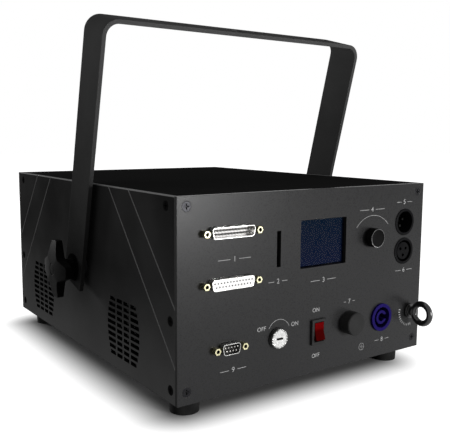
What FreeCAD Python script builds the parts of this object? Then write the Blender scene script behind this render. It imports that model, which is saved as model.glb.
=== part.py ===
import FreeCAD, Part
import math
import os
import re

import Sketcher

# A laser show projector: a plate case on rubber feet, hung in a flat-bar yoke.
# Millimetres. +Z is up, the connector panel faces -Y, the beam leaves towards +Y,
# and the origin is on the floor under the middle of the whole object, eyebolt included.

# Driving sizes: name, value, meaning
SIZES = [
    ("case_width", 260, "case across X"),
    ("case_depth", 340, "case along Y, over both end panels"),
    ("case_height", 152, "case without its feet"),
    ("layout_width", 260, "case width that the connector panel is laid out for"),
    ("layout_height", 152, "case height that the connector panel is laid out for"),
    ("panel_thick", 3, "connector and aperture panels"),
    ("side_thick", 3, "side panels"),
    ("top_thick", 2.5, "top cover"),
    ("base_thick", 3, "base plate"),
    ("block_width", 10, "corner block across X"),
    ("block_depth", 18, "corner block along Y"),
    ("block_height", 15, "corner block along Z"),
    ("fit_gap", 0.1, "clearance round a fixed piece in its hole"),
    ("run_gap", 0.3, "clearance between a moving piece and what it passes"),
    ("shaft_gap", 0.06, "radial running clearance of a shaft"),
    ("over_cut", 1, "how far a cutting tool reaches past the plate"),
    ("foot_diameter", 24, "rubber foot at the case"),
    ("foot_taper", 0.6, "how much smaller its radius is at the floor"),
    ("foot_height", 14, "rubber foot"),
    ("foot_inset", 20, "foot centre from the side of the case"),
    ("foot_setback", 23, "foot centre from the end of the case"),
    ("foot_recess", 9, "depth of the foot's screw recess"),
    ("foot_screw", 4, "foot screw diameter"),
    ("foot_screw_head", 8, "foot screw head diameter"),
    ("foot_head_height", 2.6, "foot screw head"),
    ("screw_diameter", 4, "case screw"),
    ("screw_head", 7.5, "countersunk head diameter"),
    ("screw_head_height", 2.2, "countersunk head"),
    ("screw_length", 6, "case screw over its head"),
    ("recess_span", 4.2, "cross recess, tip to tip"),
    ("recess_width", 0.9, "cross recess wing"),
    ("recess_depth", 1.3, "cross recess"),
    ("panel_screw_inset", 8, "panel screw from the side edge"),
    ("panel_screw_top", 7.4, "panel screw from the top edge"),
    ("panel_screw_bottom", 9.6, "panel screw from the bottom edge"),
    ("side_screw_inset", 9.4, "side screw from the end face"),
    ("side_screw_top_inset", 15.1, "upper side screw from the end face"),
    ("side_screw_top", 7.7, "upper side screw from the top edge"),
    ("side_screw_middle", 61.4, "middle side screw from the bottom edge"),
    ("side_screw_bottom", 9.9, "lower side screw from the bottom edge"),
    ("vent_front", 86, "front vent centre from the connector face"),
    ("vent_rear", 70, "rear vent centre from the aperture face"),
    ("vent_height", 35.5, "vent centre above the underside"),
    ("vent_row_pitch", 5.15, "vent rows"),
    ("vent_slot", 3.2, "vent slot height"),
    ("vent_column_pitch", 12.3, "vent columns"),
    ("vent_rib", 2.7, "rib between two columns"),
    ("vent_half_width", 28.7, "vent half width at its middle row"),
    ("vent_bow", 52, "radius of the vent's bowed sides"),
    ("groove_width", 1.6, "decorative groove, measured level"),
    ("groove_depth", 0.5, "decorative groove"),
    ("groove_long_top", 110, "front long groove along the top edge"),
    ("groove_long_drop", 124.4, "front long groove down the end edge"),
    ("groove_short_top", 74.3, "front short groove along the top edge"),
    ("groove_short_drop", 80.5, "front short groove down the end edge"),
    ("rear_long_top", 97.5, "rear long groove along the top edge"),
    ("rear_long_drop", 115.1, "rear long groove down the end edge"),
    ("rear_short_top", 61, "rear short groove along the top edge"),
    ("rear_short_drop", 68.2, "rear short groove down the end edge"),
    ("window_width", 60, "beam window"),
    ("window_height", 40, "beam window"),
    ("glass_lap", 5, "window glass lap behind the panel"),
    ("glass_thick", 3, "window glass"),
    ("yoke_width", 36, "yoke flat bar"),
    ("yoke_thick", 3.5, "yoke flat bar"),
    ("yoke_gap", 5.6, "side panel to yoke leg"),
    ("yoke_reach", 219, "pivot to the top of the yoke"),
    ("yoke_tail", 16, "leg below the pivot"),
    ("yoke_bend", 14, "outer bend radius"),
    ("yoke_lean", 14.7, "lean towards the connector panel, degrees"),
    ("clamp_hole", 10.5, "hole for the hanging clamp's bolt"),
    ("pivot_forward", 3.5, "pivot in front of the middle of the case"),
    ("boss_diameter", 22, "pivot boss"),
    ("boss_spigot", 14, "pivot boss through the side panel"),
    ("boss_inside", 4, "pivot boss inside the case"),
    ("stud_diameter", 8, "clamp stud"),
    ("stud_embed", 12, "clamp stud inside its knob"),
    ("washer_diameter", 24, "friction washer"),
    ("washer_thick", 1, "friction washer"),
    ("knob_diameter", 51, "clamp knob over two opposite lobes"),
    ("knob_tip", 9.6, "clamp knob across a lobe's tip"),
    ("knob_hollow", 10, "corner of a hollow between two lobes, from each lobe's middle line"),
    ("knob_thick", 8.4, "clamp knob's lobes along its axis"),
    ("knob_crown", 110, "radius of the clamp knob's crowned face"),
    ("knob_round", 2.6, "corner radius of a lobe's tip"),
    ("knob_waist", 6, "corner radius of a hollow"),
    ("knob_recess", 10.4, "shallow recess in the middle of the clamp knob's face"),
    ("knob_recess_depth", 0.8, "the same recess"),
    ("knob_neck", 15.6, "clamp knob neck"),
    ("knob_length", 18.6, "clamp knob along its axis"),
    ("dsub_height", 8.4, "port shell"),
    ("dsub_taper", 1.48, "how much shorter each half of the lower side is"),
    ("dsub_round", 2.4, "port shell corner radius"),
    ("dsub_wall", 0.5, "port shell wall"),
    ("dsub_depth", 8, "port shell in front of its flange"),
    ("dsub_flange_height", 12.5, "port flange"),
    ("dsub_flange_thick", 1, "port flange"),
    ("dsub_block", 5, "insulator behind the flange"),
    ("dsub_cavity", 6.4, "depth in front of a male insulator"),
    ("dsub_recess", 0.3, "depth in front of a female insulator"),
    ("signal_width", 39, "25-way shell"),
    ("signal_flange", 53, "25-way flange"),
    ("signal_spacing", 47.04, "25-way jackscrews"),
    ("signal_in_x", 46, "upper signal port from the left edge"),
    ("signal_in_z", 124.2, "upper signal port above the underside"),
    ("signal_out_x", 45.8, "lower signal port from the left edge"),
    ("signal_out_z", 86.2, "lower signal port above the underside"),
    ("interlock_width", 17, "9-way shell"),
    ("interlock_flange", 31, "9-way flange"),
    ("interlock_spacing", 25, "9-way jackscrews"),
    ("interlock_x", 44.5, "interlock port from the left edge"),
    ("interlock_z", 36.6, "interlock port above the underside"),
    ("pin_pitch", 2.77, "port pins along a row"),
    ("pin_rows", 2.84, "between the two rows of pins"),
    ("pin_diameter", 1, "port pin"),
    ("pin_setback", 0.6, "pin tips behind the shell's rim"),
    ("pin_tail", 3, "pin behind its insulator"),
    ("socket_bore", 1.2, "hole in the female insulator"),
    ("socket_depth", 5, "hole in the female insulator"),
    ("jack_across", 5, "jackscrew across its flats"),
    ("jack_length", 5, "jackscrew outside the panel"),
    ("jack_bore", 2.8, "jackscrew thread"),
    ("jack_bore_depth", 4, "jackscrew thread"),
    ("jack_shank", 2.8, "jackscrew through the panel"),
    ("card_x", 91.75, "card slot from the left edge"),
    ("card_z", 106.8, "card slot above the underside"),
    ("card_slot_width", 4.1, "card slot in the panel"),
    ("card_slot_height", 28.4, "card slot in the panel"),
    ("card_wall", 2, "card socket wall"),
    ("card_space", 3, "card space"),
    ("card_depth", 24, "card space"),
    ("display_x", 139, "display from the left edge"),
    ("display_z", 108, "display above the underside"),
    ("display_width", 50, "display opening"),
    ("display_height", 39, "display opening"),
    ("display_lap", 3, "lens lap behind the panel"),
    ("lens_thick", 1.5, "display lens"),
    ("module_lap", 2.5, "display module past its lens"),
    ("module_thick", 8, "display module"),
    ("encoder_x", 194, "encoder from the left edge"),
    ("encoder_z", 107.7, "encoder above the underside"),
    ("encoder_knob_diameter", 16.4, "encoder knob"),
    ("encoder_knob_length", 7, "encoder knob"),
    ("encoder_standoff", 1.4, "encoder knob from the panel"),
    ("encoder_chamfer", 0.9, "encoder knob front edge"),
    ("encoder_shaft", 6, "encoder shaft"),
    ("encoder_grip", 5, "encoder shaft inside its knob"),
    ("encoder_bush", 9, "encoder bush"),
    ("encoder_body_width", 14, "encoder body"),
    ("encoder_body_depth", 8, "encoder body"),
    ("encoder_travel", 0.7, "encoder press"),
    ("encoder_floor", 1.5, "encoder body behind its shaft"),
    ("data_x", 236, "data sockets from the left edge"),
    ("data_in_z", 118, "male data socket above the underside"),
    ("data_pitch", 26, "female data socket below the male one"),
    ("data_diameter", 23.8, "data socket"),
    ("data_wall", 2.2, "data socket wall"),
    ("data_lip", 0.6, "data socket in front of the panel"),
    ("data_depth", 20, "data socket behind the panel's face"),
    ("data_cavity", 13, "data socket cavity"),
    ("data_insert", 15.6, "data socket insert"),
    ("data_flange", 29, "data socket flange across X"),
    ("data_flange_height", 24, "data socket flange along Z"),
    ("data_flange_thick", 2, "data socket flange"),
    ("data_core_setback", 1, "female data socket insert behind its rim"),
    ("data_pin", 2.4, "data pin"),
    ("data_pin_circle", 4, "data pin circle radius"),
    ("data_pin_length", 8, "data pin in its cavity"),
    ("data_pin_root", 4, "data pin in its floor"),
    ("data_hole", 2.8, "female data contact hole"),
    ("data_hole_depth", 9, "female data contact hole"),
    ("key_x", 91.5, "key switch from the left edge"),
    ("key_z", 36, "key switch above the underside"),
    ("key_diameter", 12.4, "key barrel"),
    ("key_head", 15.4, "key barrel's head"),
    ("key_reach", 3.4, "key barrel in front of the panel"),
    ("key_bezel", 17.4, "key switch bezel"),
    ("key_bezel_thick", 1, "key switch bezel"),
    ("key_wall", 1, "key switch body wall"),
    ("key_depth", 18, "key switch body behind the panel's face"),
    ("keyhole_length", 6.4, "keyhole"),
    ("keyhole_width", 1.8, "keyhole"),
    ("keyhole_depth", 10, "keyhole"),
    ("rocker_x", 134, "mains switch from the left edge"),
    ("rocker_z", 34.3, "mains switch above the underside"),
    ("rocker_bezel_width", 15, "mains switch bezel"),
    ("rocker_bezel_height", 21, "mains switch bezel"),
    ("rocker_bezel_thick", 2.2, "mains switch bezel"),
    ("rocker_body_width", 12.8, "mains switch body"),
    ("rocker_body_height", 18.8, "mains switch body"),
    ("rocker_body_depth", 15, "mains switch body behind the panel's face"),
    ("rocker_width", 9.4, "rocker"),
    ("rocker_half", 7.3, "half the rocker's height"),
    ("rocker_side_gap", 0.35, "rocker to each side of its well"),
    ("rocker_end_gap", 1, "rocker to each end of its well"),
    ("rocker_well", 8, "rocker's well behind the panel's face"),
    ("rocker_hinge", 1.2, "rocker pin behind the panel's face"),
    ("rocker_rise", 3.7, "rocker pin to the middle of its face"),
    ("rocker_root", 3, "rocker behind its pin"),
    ("rocker_pin", 2, "rocker pin"),
    ("rocker_pin_reach", 0.9, "rocker pin past the rocker's side"),
    ("rocker_tilt", 9, "rocker tilt to each side, degrees"),
    ("fuse_x", 169.6, "fuse holder from the left edge"),
    ("fuse_z", 36.7, "fuse holder above the underside"),
    ("fuse_cap_diameter", 19.8, "fuse cap"),
    ("fuse_cap_length", 8.2, "fuse cap in front of the holder"),
    ("fuse_chamfer", 0.8, "fuse cap front edge"),
    ("fuse_rim", 1.5, "fuse holder rim"),
    ("fuse_barrel", 14.4, "fuse holder barrel"),
    ("fuse_depth", 33, "fuse holder behind the panel's face"),
    ("fuse_floor", 2, "fuse holder end wall"),
    ("fuse_stem", 10.4, "fuse cap stem"),
    ("fuse_stem_length", 7, "fuse cap stem"),
    ("fuse_socket", 4, "fuse end held in the stem"),
    ("fuse_diameter", 5.2, "fuse"),
    ("fuse_length", 20, "fuse"),
    ("inlet_x", 209, "mains inlet from the left edge"),
    ("inlet_z", 35, "mains inlet above the underside"),
    ("inlet_diameter", 24.5, "mains inlet"),
    ("inlet_reach", 2, "mains inlet in front of the panel"),
    ("inlet_depth", 22, "mains inlet behind the panel's face"),
    ("inlet_wall", 3, "mains inlet rim"),
    ("inlet_cavity", 14, "mains inlet groove"),
    ("inlet_core", 12.4, "mains inlet core"),
    ("inlet_core_bore", 7.4, "mains inlet core bore"),
    ("inlet_core_setback", 0.8, "mains inlet core behind its rim"),
    ("inlet_key", 4.2, "keyway in the core"),
    ("inlet_flange", 28, "mains inlet flange behind the panel"),
    ("inlet_flange_thick", 2, "mains inlet flange behind the panel"),
    ("eye_x", 247, "eyebolt from the left edge"),
    ("eye_z", 35.4, "eyebolt above the underside"),
    ("eye_reach", 14.5, "ring centre in front of the panel"),
    ("eye_bore", 12, "eyebolt ring"),
    ("eye_wire", 5.5, "eyebolt ring section"),
    ("eye_collar", 13.5, "eyebolt collar"),
    ("eye_collar_thick", 2.2, "eyebolt collar"),
    ("eye_neck", 8.4, "eyebolt neck"),
    ("eye_stud", 8, "eyebolt thread"),
    ("nut_across", 13, "eyebolt nut across its flats"),
    ("nut_height", 6.5, "eyebolt nut"),
    ("stud_past_nut", 1.5, "eyebolt thread past its nut"),
    ("plate_width", 180, "optical plate"),
    ("plate_depth", 140, "optical plate"),
    ("plate_thick", 8, "optical plate"),
    ("plate_lift", 52, "optical plate above the base plate"),
    ("plate_side_gap", 2, "optical plate from the fans"),
    ("plate_rear_gap", 12, "optical plate from the aperture panel"),
    ("pillar_diameter", 12, "optical plate pillar"),
    ("pillar_inset", 9, "pillar from the plate's edges"),
    ("laser_width", 28, "laser module"),
    ("laser_length", 62, "laser module"),
    ("laser_height", 28, "laser module"),
    ("laser_pitch", 34, "between laser modules"),
    ("laser_inset", 24, "first module from the plate's left edge"),
    ("laser_setback", 6, "modules from the plate's near edge"),
    ("nozzle_diameter", 10, "laser nozzle"),
    ("nozzle_length", 4, "laser nozzle"),
    ("mirror_distance", 20, "combiner mirror from the nozzle"),
    ("mirror_width", 15, "combiner mirror"),
    ("mirror_height", 16, "combiner mirror"),
    ("mirror_thick", 1.5, "combiner mirror"),
    ("mount_depth", 9, "mirror mount"),
    ("mount_height", 6, "mirror mount"),
    ("scanner_offset", 40, "scanner from the last laser module"),
    ("scan_rise", 12, "second scan mirror above the first"),
    ("motor_diameter", 14, "scanner motor"),
    ("motor_length", 30, "scanner motor"),
    ("motor_distance", 10, "scanner motor from its mirror's centre"),
    ("motor_bore_depth", 12, "shaft bore in a scanner motor"),
    ("scan_shaft", 3, "scanner shaft"),
    ("scan_thick", 1, "scan mirror"),
    ("scan_width", 8, "first scan mirror"),
    ("scan_length", 10, "first scan mirror"),
    ("scan_wide", 9, "second scan mirror"),
    ("scan_long", 16, "second scan mirror"),
    ("scanner_wall", 3, "scanner block round a motor"),
    ("scanner_grip", 20, "scanner block along a motor"),
    ("scanner_foot", 5, "scanner block foot"),
    ("supply_width", 98, "power supply"),
    ("supply_height", 40, "power supply"),
    ("supply_side_gap", 8, "power supply from the right side panel"),
    ("supply_setback", 42, "power supply from the connector panel"),
    ("supply_plate_gap", 10, "power supply in front of the optical plate"),
    ("driver_width", 50, "scanner driver"),
    ("driver_thick", 5, "scanner driver heat spreader"),
    ("driver_height", 60, "scanner driver"),
    ("driver_foot", 16, "scanner driver foot along Y"),
    ("driver_inset", 77, "scanner drivers' middle from the left side panel"),
    ("driver_setback", 72, "first scanner driver from the connector panel"),
    ("driver_pitch", 40, "between the scanner drivers"),
    ("board_left", 98, "control board from the left edge"),
    ("board_width", 118, "control board"),
    ("board_bottom", 62, "control board above the underside"),
    ("board_height", 78, "control board"),
    ("board_thick", 1.6, "control board"),
    ("spacer_length", 16, "control board from the connector panel"),
    ("spacer_diameter", 6, "control board spacer"),
    ("spacer_inset", 4, "spacer from the board's edges"),
    ("fan_size", 60, "fan frame"),
    ("fan_depth", 15, "fan frame"),
    ("fan_bore", 56, "fan duct"),
    ("fan_hub", 26, "fan hub"),
    ("fan_tip_gap", 1.4, "blade tip to the duct"),
    ("fan_plate", 2.5, "fan motor plate and struts"),
    ("fan_plate_diameter", 25, "fan motor plate"),
    ("fan_strut", 3, "fan strut"),
    ("fan_shaft", 3, "fan shaft"),
    ("fan_front_gap", 2, "fan hub from the side panel"),
    ("fan_shell", 1.7, "fan hub's end wall"),
    ("blade_chord", 9, "fan blade"),
    ("blade_thick", 1.2, "fan blade"),
    ("blade_pitch", 35, "fan blade, degrees"),
]

VENT_ROWS = 10
VENT_COLUMNS = 4
SIGNAL_ROW_COUNTS = (13, 12)
INTERLOCK_ROW_COUNTS = (5, 4)
DATA_PINS = 3
LASERS = 3
DRIVERS = 2
FAN_BLADES = 7

doc = FreeCAD.newDocument("LaserShowProjector")
dims = doc.addObject("Spreadsheet::Sheet", "Dims")
for row, (alias, size, meaning) in enumerate(SIZES, start=1):
    dims.set(f"A{row}", alias)
    dims.set(f"B{row}", str(size))
    dims.setAlias(f"B{row}", alias)
    dims.set(f"C{row}", meaning)
doc.recompute()

ALIASES = {alias for alias, size, meaning in SIZES}
WORD = re.compile(r"[a-z][a-z0-9_]*")

# Faces of the case that the other pieces are measured from
LEFT = "(-case_width/2)"
RIGHT = "(case_width/2)"
MIDDLE = "((eye_reach + eye_bore/2 + eye_wire)/2)"
FACE = f"({MIDDLE} - case_depth/2)"
INNER = f"({FACE} + panel_thick)"
REAR = f"({MIDDLE} + case_depth/2)"
REAR_INNER = f"({REAR} - panel_thick)"
UNDER = "foot_height"
FLOOR = "(foot_height + base_thick)"
TOP = "(foot_height + case_height)"

X_AXIS = FreeCAD.Vector(1, 0, 0)
Y_AXIS = FreeCAD.Vector(0, 1, 0)
Z_AXIS = FreeCAD.Vector(0, 0, 1)
TURNS = {
    "z": FreeCAD.Rotation(),
    "-z": FreeCAD.Rotation(X_AXIS, 180),
    "x": FreeCAD.Rotation(Y_AXIS, 90),
    "-x": FreeCAD.Rotation(Y_AXIS, -90),
    "y": FreeCAD.Rotation(X_AXIS, -90),
    "-y": FreeCAD.Rotation(X_AXIS, 90),
    "diagonal": FreeCAD.Rotation(Z_AXIS, 45),
    "first mirror": FreeCAD.Rotation(Y_AXIS, -45),
    "second mirror": FreeCAD.Rotation(X_AXIS, 45),
}
subparts = []


def bind(formula):
    """Point each size named in a formula at its cell."""
    return WORD.sub(lambda word: ("Dims." if word.group() in ALIASES else "") + word.group(), str(formula))


def value(formula):
    """The number that a formula gives."""
    return float(dims.evalExpression(bind(formula)))


def across(x):
    """A place across the connector panel, from its left edge, which spreads with the case."""
    return f"({LEFT} + ({x}) * case_width / layout_width)"


def up(z):
    """A place up the connector panel, from its lower edge, which spreads with the case."""
    return f"({UNDER} + ({z}) * case_height / layout_height)"


def place(thing, at, turn="z"):
    """Turn a thing, and tie its place to the sizes."""
    thing.Placement = FreeCAD.Placement(FreeCAD.Vector(), TURNS[turn])
    for letter, formula in zip("xyz", at):
        thing.setExpression(f"Placement.Base.{letter}", bind(formula))
    return thing


def primitive(kind, name, at, turn, sizes):
    """A Part primitive whose sizes follow the sheet."""
    thing = doc.addObject(kind, name)
    for size, formula in sizes.items():
        thing.setExpression(size, bind(formula))
    return place(thing, at, turn)


def box(name, at, length, width, height):
    """A box from its low corner, along X, Y and Z."""
    return primitive("Part::Box", name, at, "z", {"Length": length, "Width": width, "Height": height})


def cylinder(name, at, turn, diameter, length):
    """A cylinder from the centre of its first face."""
    return primitive("Part::Cylinder", name, at, turn, {"Radius": f"({diameter})/2", "Height": length})


def cone(name, at, turn, first, last, length):
    """A cone between two diameters."""
    sizes = {"Radius1": f"({first})/2", "Radius2": f"({last})/2", "Height": length}
    return primitive("Part::Cone", name, at, turn, sizes)


def hexagon(name, at, turn, across_flats, length):
    """A six-sided prism from the centre of its first face."""
    thing = doc.addObject("Part::Prism", name)
    thing.Polygon = 6
    thing.setExpression("Circumradius", bind(f"{across_flats} / sqrt(3)"))
    thing.setExpression("Height", bind(length))
    return place(thing, at, turn)


def group(name, things):
    """Separate solids kept together."""
    result = doc.addObject("Part::Compound", name)
    result.Links = list(things)
    return result


def fuse(name, things):
    """Solids joined into one."""
    result = doc.addObject("Part::MultiFuse", name)
    result.Shapes = list(things)
    return result


def cut(name, base, tools):
    """A solid with tools taken out of it."""
    result = doc.addObject("Part::Cut", name)
    result.Base = base
    result.Tool = tools[0] if len(tools) == 1 else fuse(name + "_tools", tools)
    return result


def mirror(name, source):
    """The same piece on the other side of the case."""
    result = doc.addObject("Part::Mirroring", name)
    result.Source = source
    result.Normal = X_AXIS
    return result


def copies(name, master, places):
    """Copies of a piece modelled at the origin along Z, each (x, y, z, turn)."""
    doc.recompute()
    shapes = []
    for x, y, z, turn in places:
        rotation = TURNS[turn] if isinstance(turn, str) else turn
        spot = FreeCAD.Vector(value(x), value(y), value(z))
        shape = master.Shape.copy()
        shape.Placement = FreeCAD.Placement(spot, rotation)
        shapes.append(shape)
    result = doc.addObject("Part::Feature", name)
    result.Shape = shapes[0] if len(shapes) == 1 else Part.makeCompound(shapes)
    return result


def origin_plane(body, role):
    """One of a body's own base planes."""
    return next(feature for feature in body.Origin.OriginFeatures if feature.Role == role)


def padded_outline(name, role, corners, length, symmetric=False):
    """A body: a polygon sketched on a base plane, and padded. Returns the body, sketch and pad."""
    body = doc.addObject("PartDesign::Body", name)
    sketch = body.newObject("Sketcher::SketchObject", name + "_outline")
    sketch.AttachmentSupport = (origin_plane(body, role), "")
    sketch.MapMode = "FlatFace"
    points = [FreeCAD.Vector(value(level), value(upright), 0) for level, upright in corners]
    count = len(points)
    for number in range(count):
        sketch.addGeometry(Part.LineSegment(points[number], points[(number + 1) % count]), False)
    for number in range(count):
        sketch.addConstraint(Sketcher.Constraint("Coincident", number, 2, (number + 1) % count, 1))
    for number, (across_formula, up_formula) in enumerate(corners):
        level = sketch.addConstraint(Sketcher.Constraint("DistanceX", -1, 1, number, 1, points[number].x))
        sketch.setExpression(f"Constraints[{level}]", bind(across_formula))
        upright = sketch.addConstraint(Sketcher.Constraint("DistanceY", -1, 1, number, 1, points[number].y))
        sketch.setExpression(f"Constraints[{upright}]", bind(up_formula))
    pad = body.newObject("PartDesign::Pad", name + "_pad")
    pad.Profile = sketch
    pad.setExpression("Length", bind(length))
    if symmetric:
        pad.SideType = "Symmetric"
    doc.recompute()
    return body, sketch, pad


def round_edges(body, feature, radius, wanted):
    """Fillet the edges of a body's feature that a test picks by their middle point and direction."""
    names = []
    for number, edge in enumerate(feature.Shape.Edges, start=1):
        middle = edge.valueAt((edge.FirstParameter + edge.LastParameter) / 2)
        direction = edge.tangentAt(edge.FirstParameter)
        if wanted(middle, direction):
            names.append(f"Edge{number}")
    fillet = body.newObject("PartDesign::Fillet", body.Label + "_round")
    fillet.Base = (feature, names)
    fillet.setExpression("Radius", bind(radius))
    doc.recompute()
    return fillet


def along(axis):
    """A test for edges that run along an axis."""
    return lambda middle, direction: abs(direction.dot(axis)) > 0.999


def shared(name, first, second):
    """The space that two solids share."""
    thing = doc.addObject("Part::MultiCommon", name)
    thing.Shapes = [first, second]
    return thing


def keep(thing):
    """Hand a finished sub-part on to be written."""
    subparts.append(thing)
    return thing


# Countersunk case screws, and the holes they need
def countersunk(name, gap):
    """A countersunk screw pointing along +Z, its head flush at the origin, grown all round by a gap."""
    zero = ("0", "0", "0")
    head = cone(name + "_head", zero, "z", f"screw_head + 2*{gap}", f"screw_diameter + 2*{gap}",
                f"screw_head_height + {gap}")
    shank = cylinder(name + "_shank", zero, "z", f"screw_diameter + 2*{gap}", f"screw_length + {gap}")
    return fuse(name, [head, shank])


def cross_recess(name):
    """Two crossed wings as deep as the recess."""
    wings = []
    spans = (("recess_span", "recess_width"), ("recess_width", "recess_span"))
    for number, (length, width) in enumerate(spans):
        low = (f"-{length}/2", f"-{width}/2", "0")
        wings.append(box(f"{name}_wing_{number}", low, length, width, "recess_depth"))
    return fuse(name, wings)


screw = cut("screw_master", countersunk("screw_solid", "0"), [cross_recess("screw_recess")])
screw_hole = countersunk("screw_hole_master", "fit_gap")

SIDE_SCREWS = (("side_screw_top_inset", f"({TOP} - side_screw_top)"),
               ("side_screw_inset", up("side_screw_middle")),
               ("side_screw_inset", f"({UNDER} + side_screw_bottom)"))
PANEL_SCREW_X = (f"({LEFT} + panel_screw_inset)", f"({RIGHT} - panel_screw_inset)")
PANEL_SCREW_Z = (f"({TOP} - panel_screw_top)", f"({UNDER} + panel_screw_bottom)")
front_screws = [(x, FACE, z, "y") for x in PANEL_SCREW_X for z in PANEL_SCREW_Z]
rear_screws = [(x, REAR, z, "-y") for x in PANEL_SCREW_X for z in PANEL_SCREW_Z]
left_screws = []
for inset, z in SIDE_SCREWS:
    left_screws.append((LEFT, f"({FACE} + {inset})", z, "x"))
    left_screws.append((LEFT, f"({REAR} - {inset})", z, "x"))
right_screws = [(RIGHT, y, z, "-x") for x, y, z, turn in left_screws]
BLOCK_X = (f"({LEFT} + side_thick)", f"({RIGHT} - side_thick - block_width)")
BLOCK_Y = (INNER, f"({REAR_INNER} - block_depth)")
TOP_SCREW_Y = (f"({FACE} + side_screw_inset)", f"({REAR} - side_screw_inset)")
top_screws = [(f"({x} + block_width/2)", y, TOP, "-z") for x in BLOCK_X for y in TOP_SCREW_Y]
all_screws = front_screws + rear_screws + left_screws + right_screws + top_screws
keep(copies("case_screws", screw, all_screws))


# Rubber feet and their screws
FOOT_X = (f"({LEFT} + foot_inset)", f"({RIGHT} - foot_inset)")
FOOT_Y = (f"({FACE} + foot_setback)", f"({REAR} - foot_setback)")
foot_places = [(x, y, "0", "z") for x in FOOT_X for y in FOOT_Y]


def rubber_foot():
    """One foot standing on the floor, recessed for its screw."""
    zero = ("0", "0", "0")
    blank = cone("foot_blank", zero, "z", "foot_diameter - 2*foot_taper", "foot_diameter", "foot_height")
    recess = cylinder("foot_recess_tool", zero, "z", "foot_screw_head + 2*fit_gap", "foot_recess")
    bore = cylinder("foot_bore_tool", zero, "z", "foot_screw + 2*fit_gap", "foot_height")
    return cut("foot_master", blank, [recess, bore])


def foot_fixing():
    """The pan-head screw inside a foot, its end flush with the base plate's upper face."""
    head = cylinder("foot_screw_head_solid", ("0", "0", "foot_recess - foot_head_height"), "z",
                    "foot_screw_head", "foot_head_height")
    shank = cylinder("foot_screw_shank", ("0", "0", "foot_recess"), "z", "foot_screw",
                     f"{FLOOR} - foot_recess")
    return fuse("foot_screw_master", [head, shank])


keep(copies("rubber_feet", rubber_foot(), foot_places))
keep(copies("foot_screws", foot_fixing(), foot_places))


# Base plate, top cover and corner blocks
def base_plate():
    """Plate between the four walls, with the foot screws' holes."""
    blank = box("base_blank", (f"({LEFT} + side_thick)", INNER, UNDER), "case_width - 2*side_thick",
                "case_depth - 2*panel_thick", "base_thick")
    hole = cylinder("base_hole", ("0", "0", "0"), "z", "foot_screw + 2*fit_gap", f"{FLOOR} + over_cut")
    return cut("base_plate", blank, [copies("base_holes", hole, foot_places)])


def top_cover():
    """Plate let in between the four walls, flush with their upper edges."""
    blank = box("top_blank", (f"({LEFT} + side_thick)", INNER, f"({TOP} - top_thick)"),
                "case_width - 2*side_thick", "case_depth - 2*panel_thick", "top_thick")
    return cut("top_cover", blank, [copies("top_holes", screw_hole, top_screws)])


def corner_blocks():
    """Blocks in each corner at three heights, drilled for the case screws."""
    heights = (FLOOR, f"({up('side_screw_middle')} - block_height/2)", f"({TOP} - top_thick - block_height)")
    blocks = []
    for x in BLOCK_X:
        for y in BLOCK_Y:
            for z in heights:
                name = f"corner_block_{len(blocks)}"
                blocks.append(box(name, (x, y, z), "block_width", "block_depth", "block_height"))
    holes = copies("block_holes", screw_hole, all_screws)
    return cut("corner_blocks", group("corner_block_set", blocks), [holes])


keep(base_plate())
keep(top_cover())
keep(corner_blocks())


# Side panels: slotted vents, decorative grooves, screw holes and the pivot hole
PIVOT_Y = f"({MIDDLE} - pivot_forward)"
PIVOT_Z = f"({UNDER} + case_height/2)"
VENT_Y = (f"({FACE} + vent_front)", f"({REAR} - vent_rear)")
VENT_Z = f"({UNDER} + vent_height)"


def vent_slots(name, centre):
    """Rows of slots whose outer ends follow a bowed outline."""
    slots = []
    inner_edge = "(vent_column_pitch + vent_rib/2)"
    for row_number in range(VENT_ROWS):
        rise = f"({row_number - (VENT_ROWS - 1) / 2} * vent_row_pitch)"
        bow = f"(sqrt(vent_bow^2 - {rise}^2) - vent_bow + vent_half_width)"
        spans = (("-" + bow, f"{bow} - {inner_edge}"),
                 ("-vent_column_pitch + vent_rib/2", "vent_column_pitch - vent_rib"),
                 ("vent_rib/2", "vent_column_pitch - vent_rib"),
                 (inner_edge, f"{bow} - {inner_edge}"))
        for column in range(VENT_COLUMNS):
            start, length = spans[column]
            low = (f"{LEFT} - over_cut", f"{centre} + {start}", f"{VENT_Z} + {rise} - vent_slot/2")
            slot_name = f"{name}_{row_number}_{column}"
            slots.append(box(slot_name, low, "side_thick + 2*over_cut", length, "vent_slot"))
    return group(name, slots)


def groove(name, end, way, top_run, drop):
    """A slanting groove from the top edge to an end edge of the left panel."""
    corner_y = f"({end} + {way}*panel_thick)"
    top_y = f"({end} + {way}*{top_run})"
    low_z = f"({TOP} - {drop})"
    corners = [(f"{top_y} - groove_width/2", TOP), (f"{top_y} + groove_width/2", TOP),
               (f"{corner_y} + groove_width/2", low_z), (f"{corner_y} - groove_width/2", low_z)]
    body, sketch, pad = padded_outline(name, "YZ_Plane", corners, "groove_depth")
    return place(body, (LEFT, "0", "0"))


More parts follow.
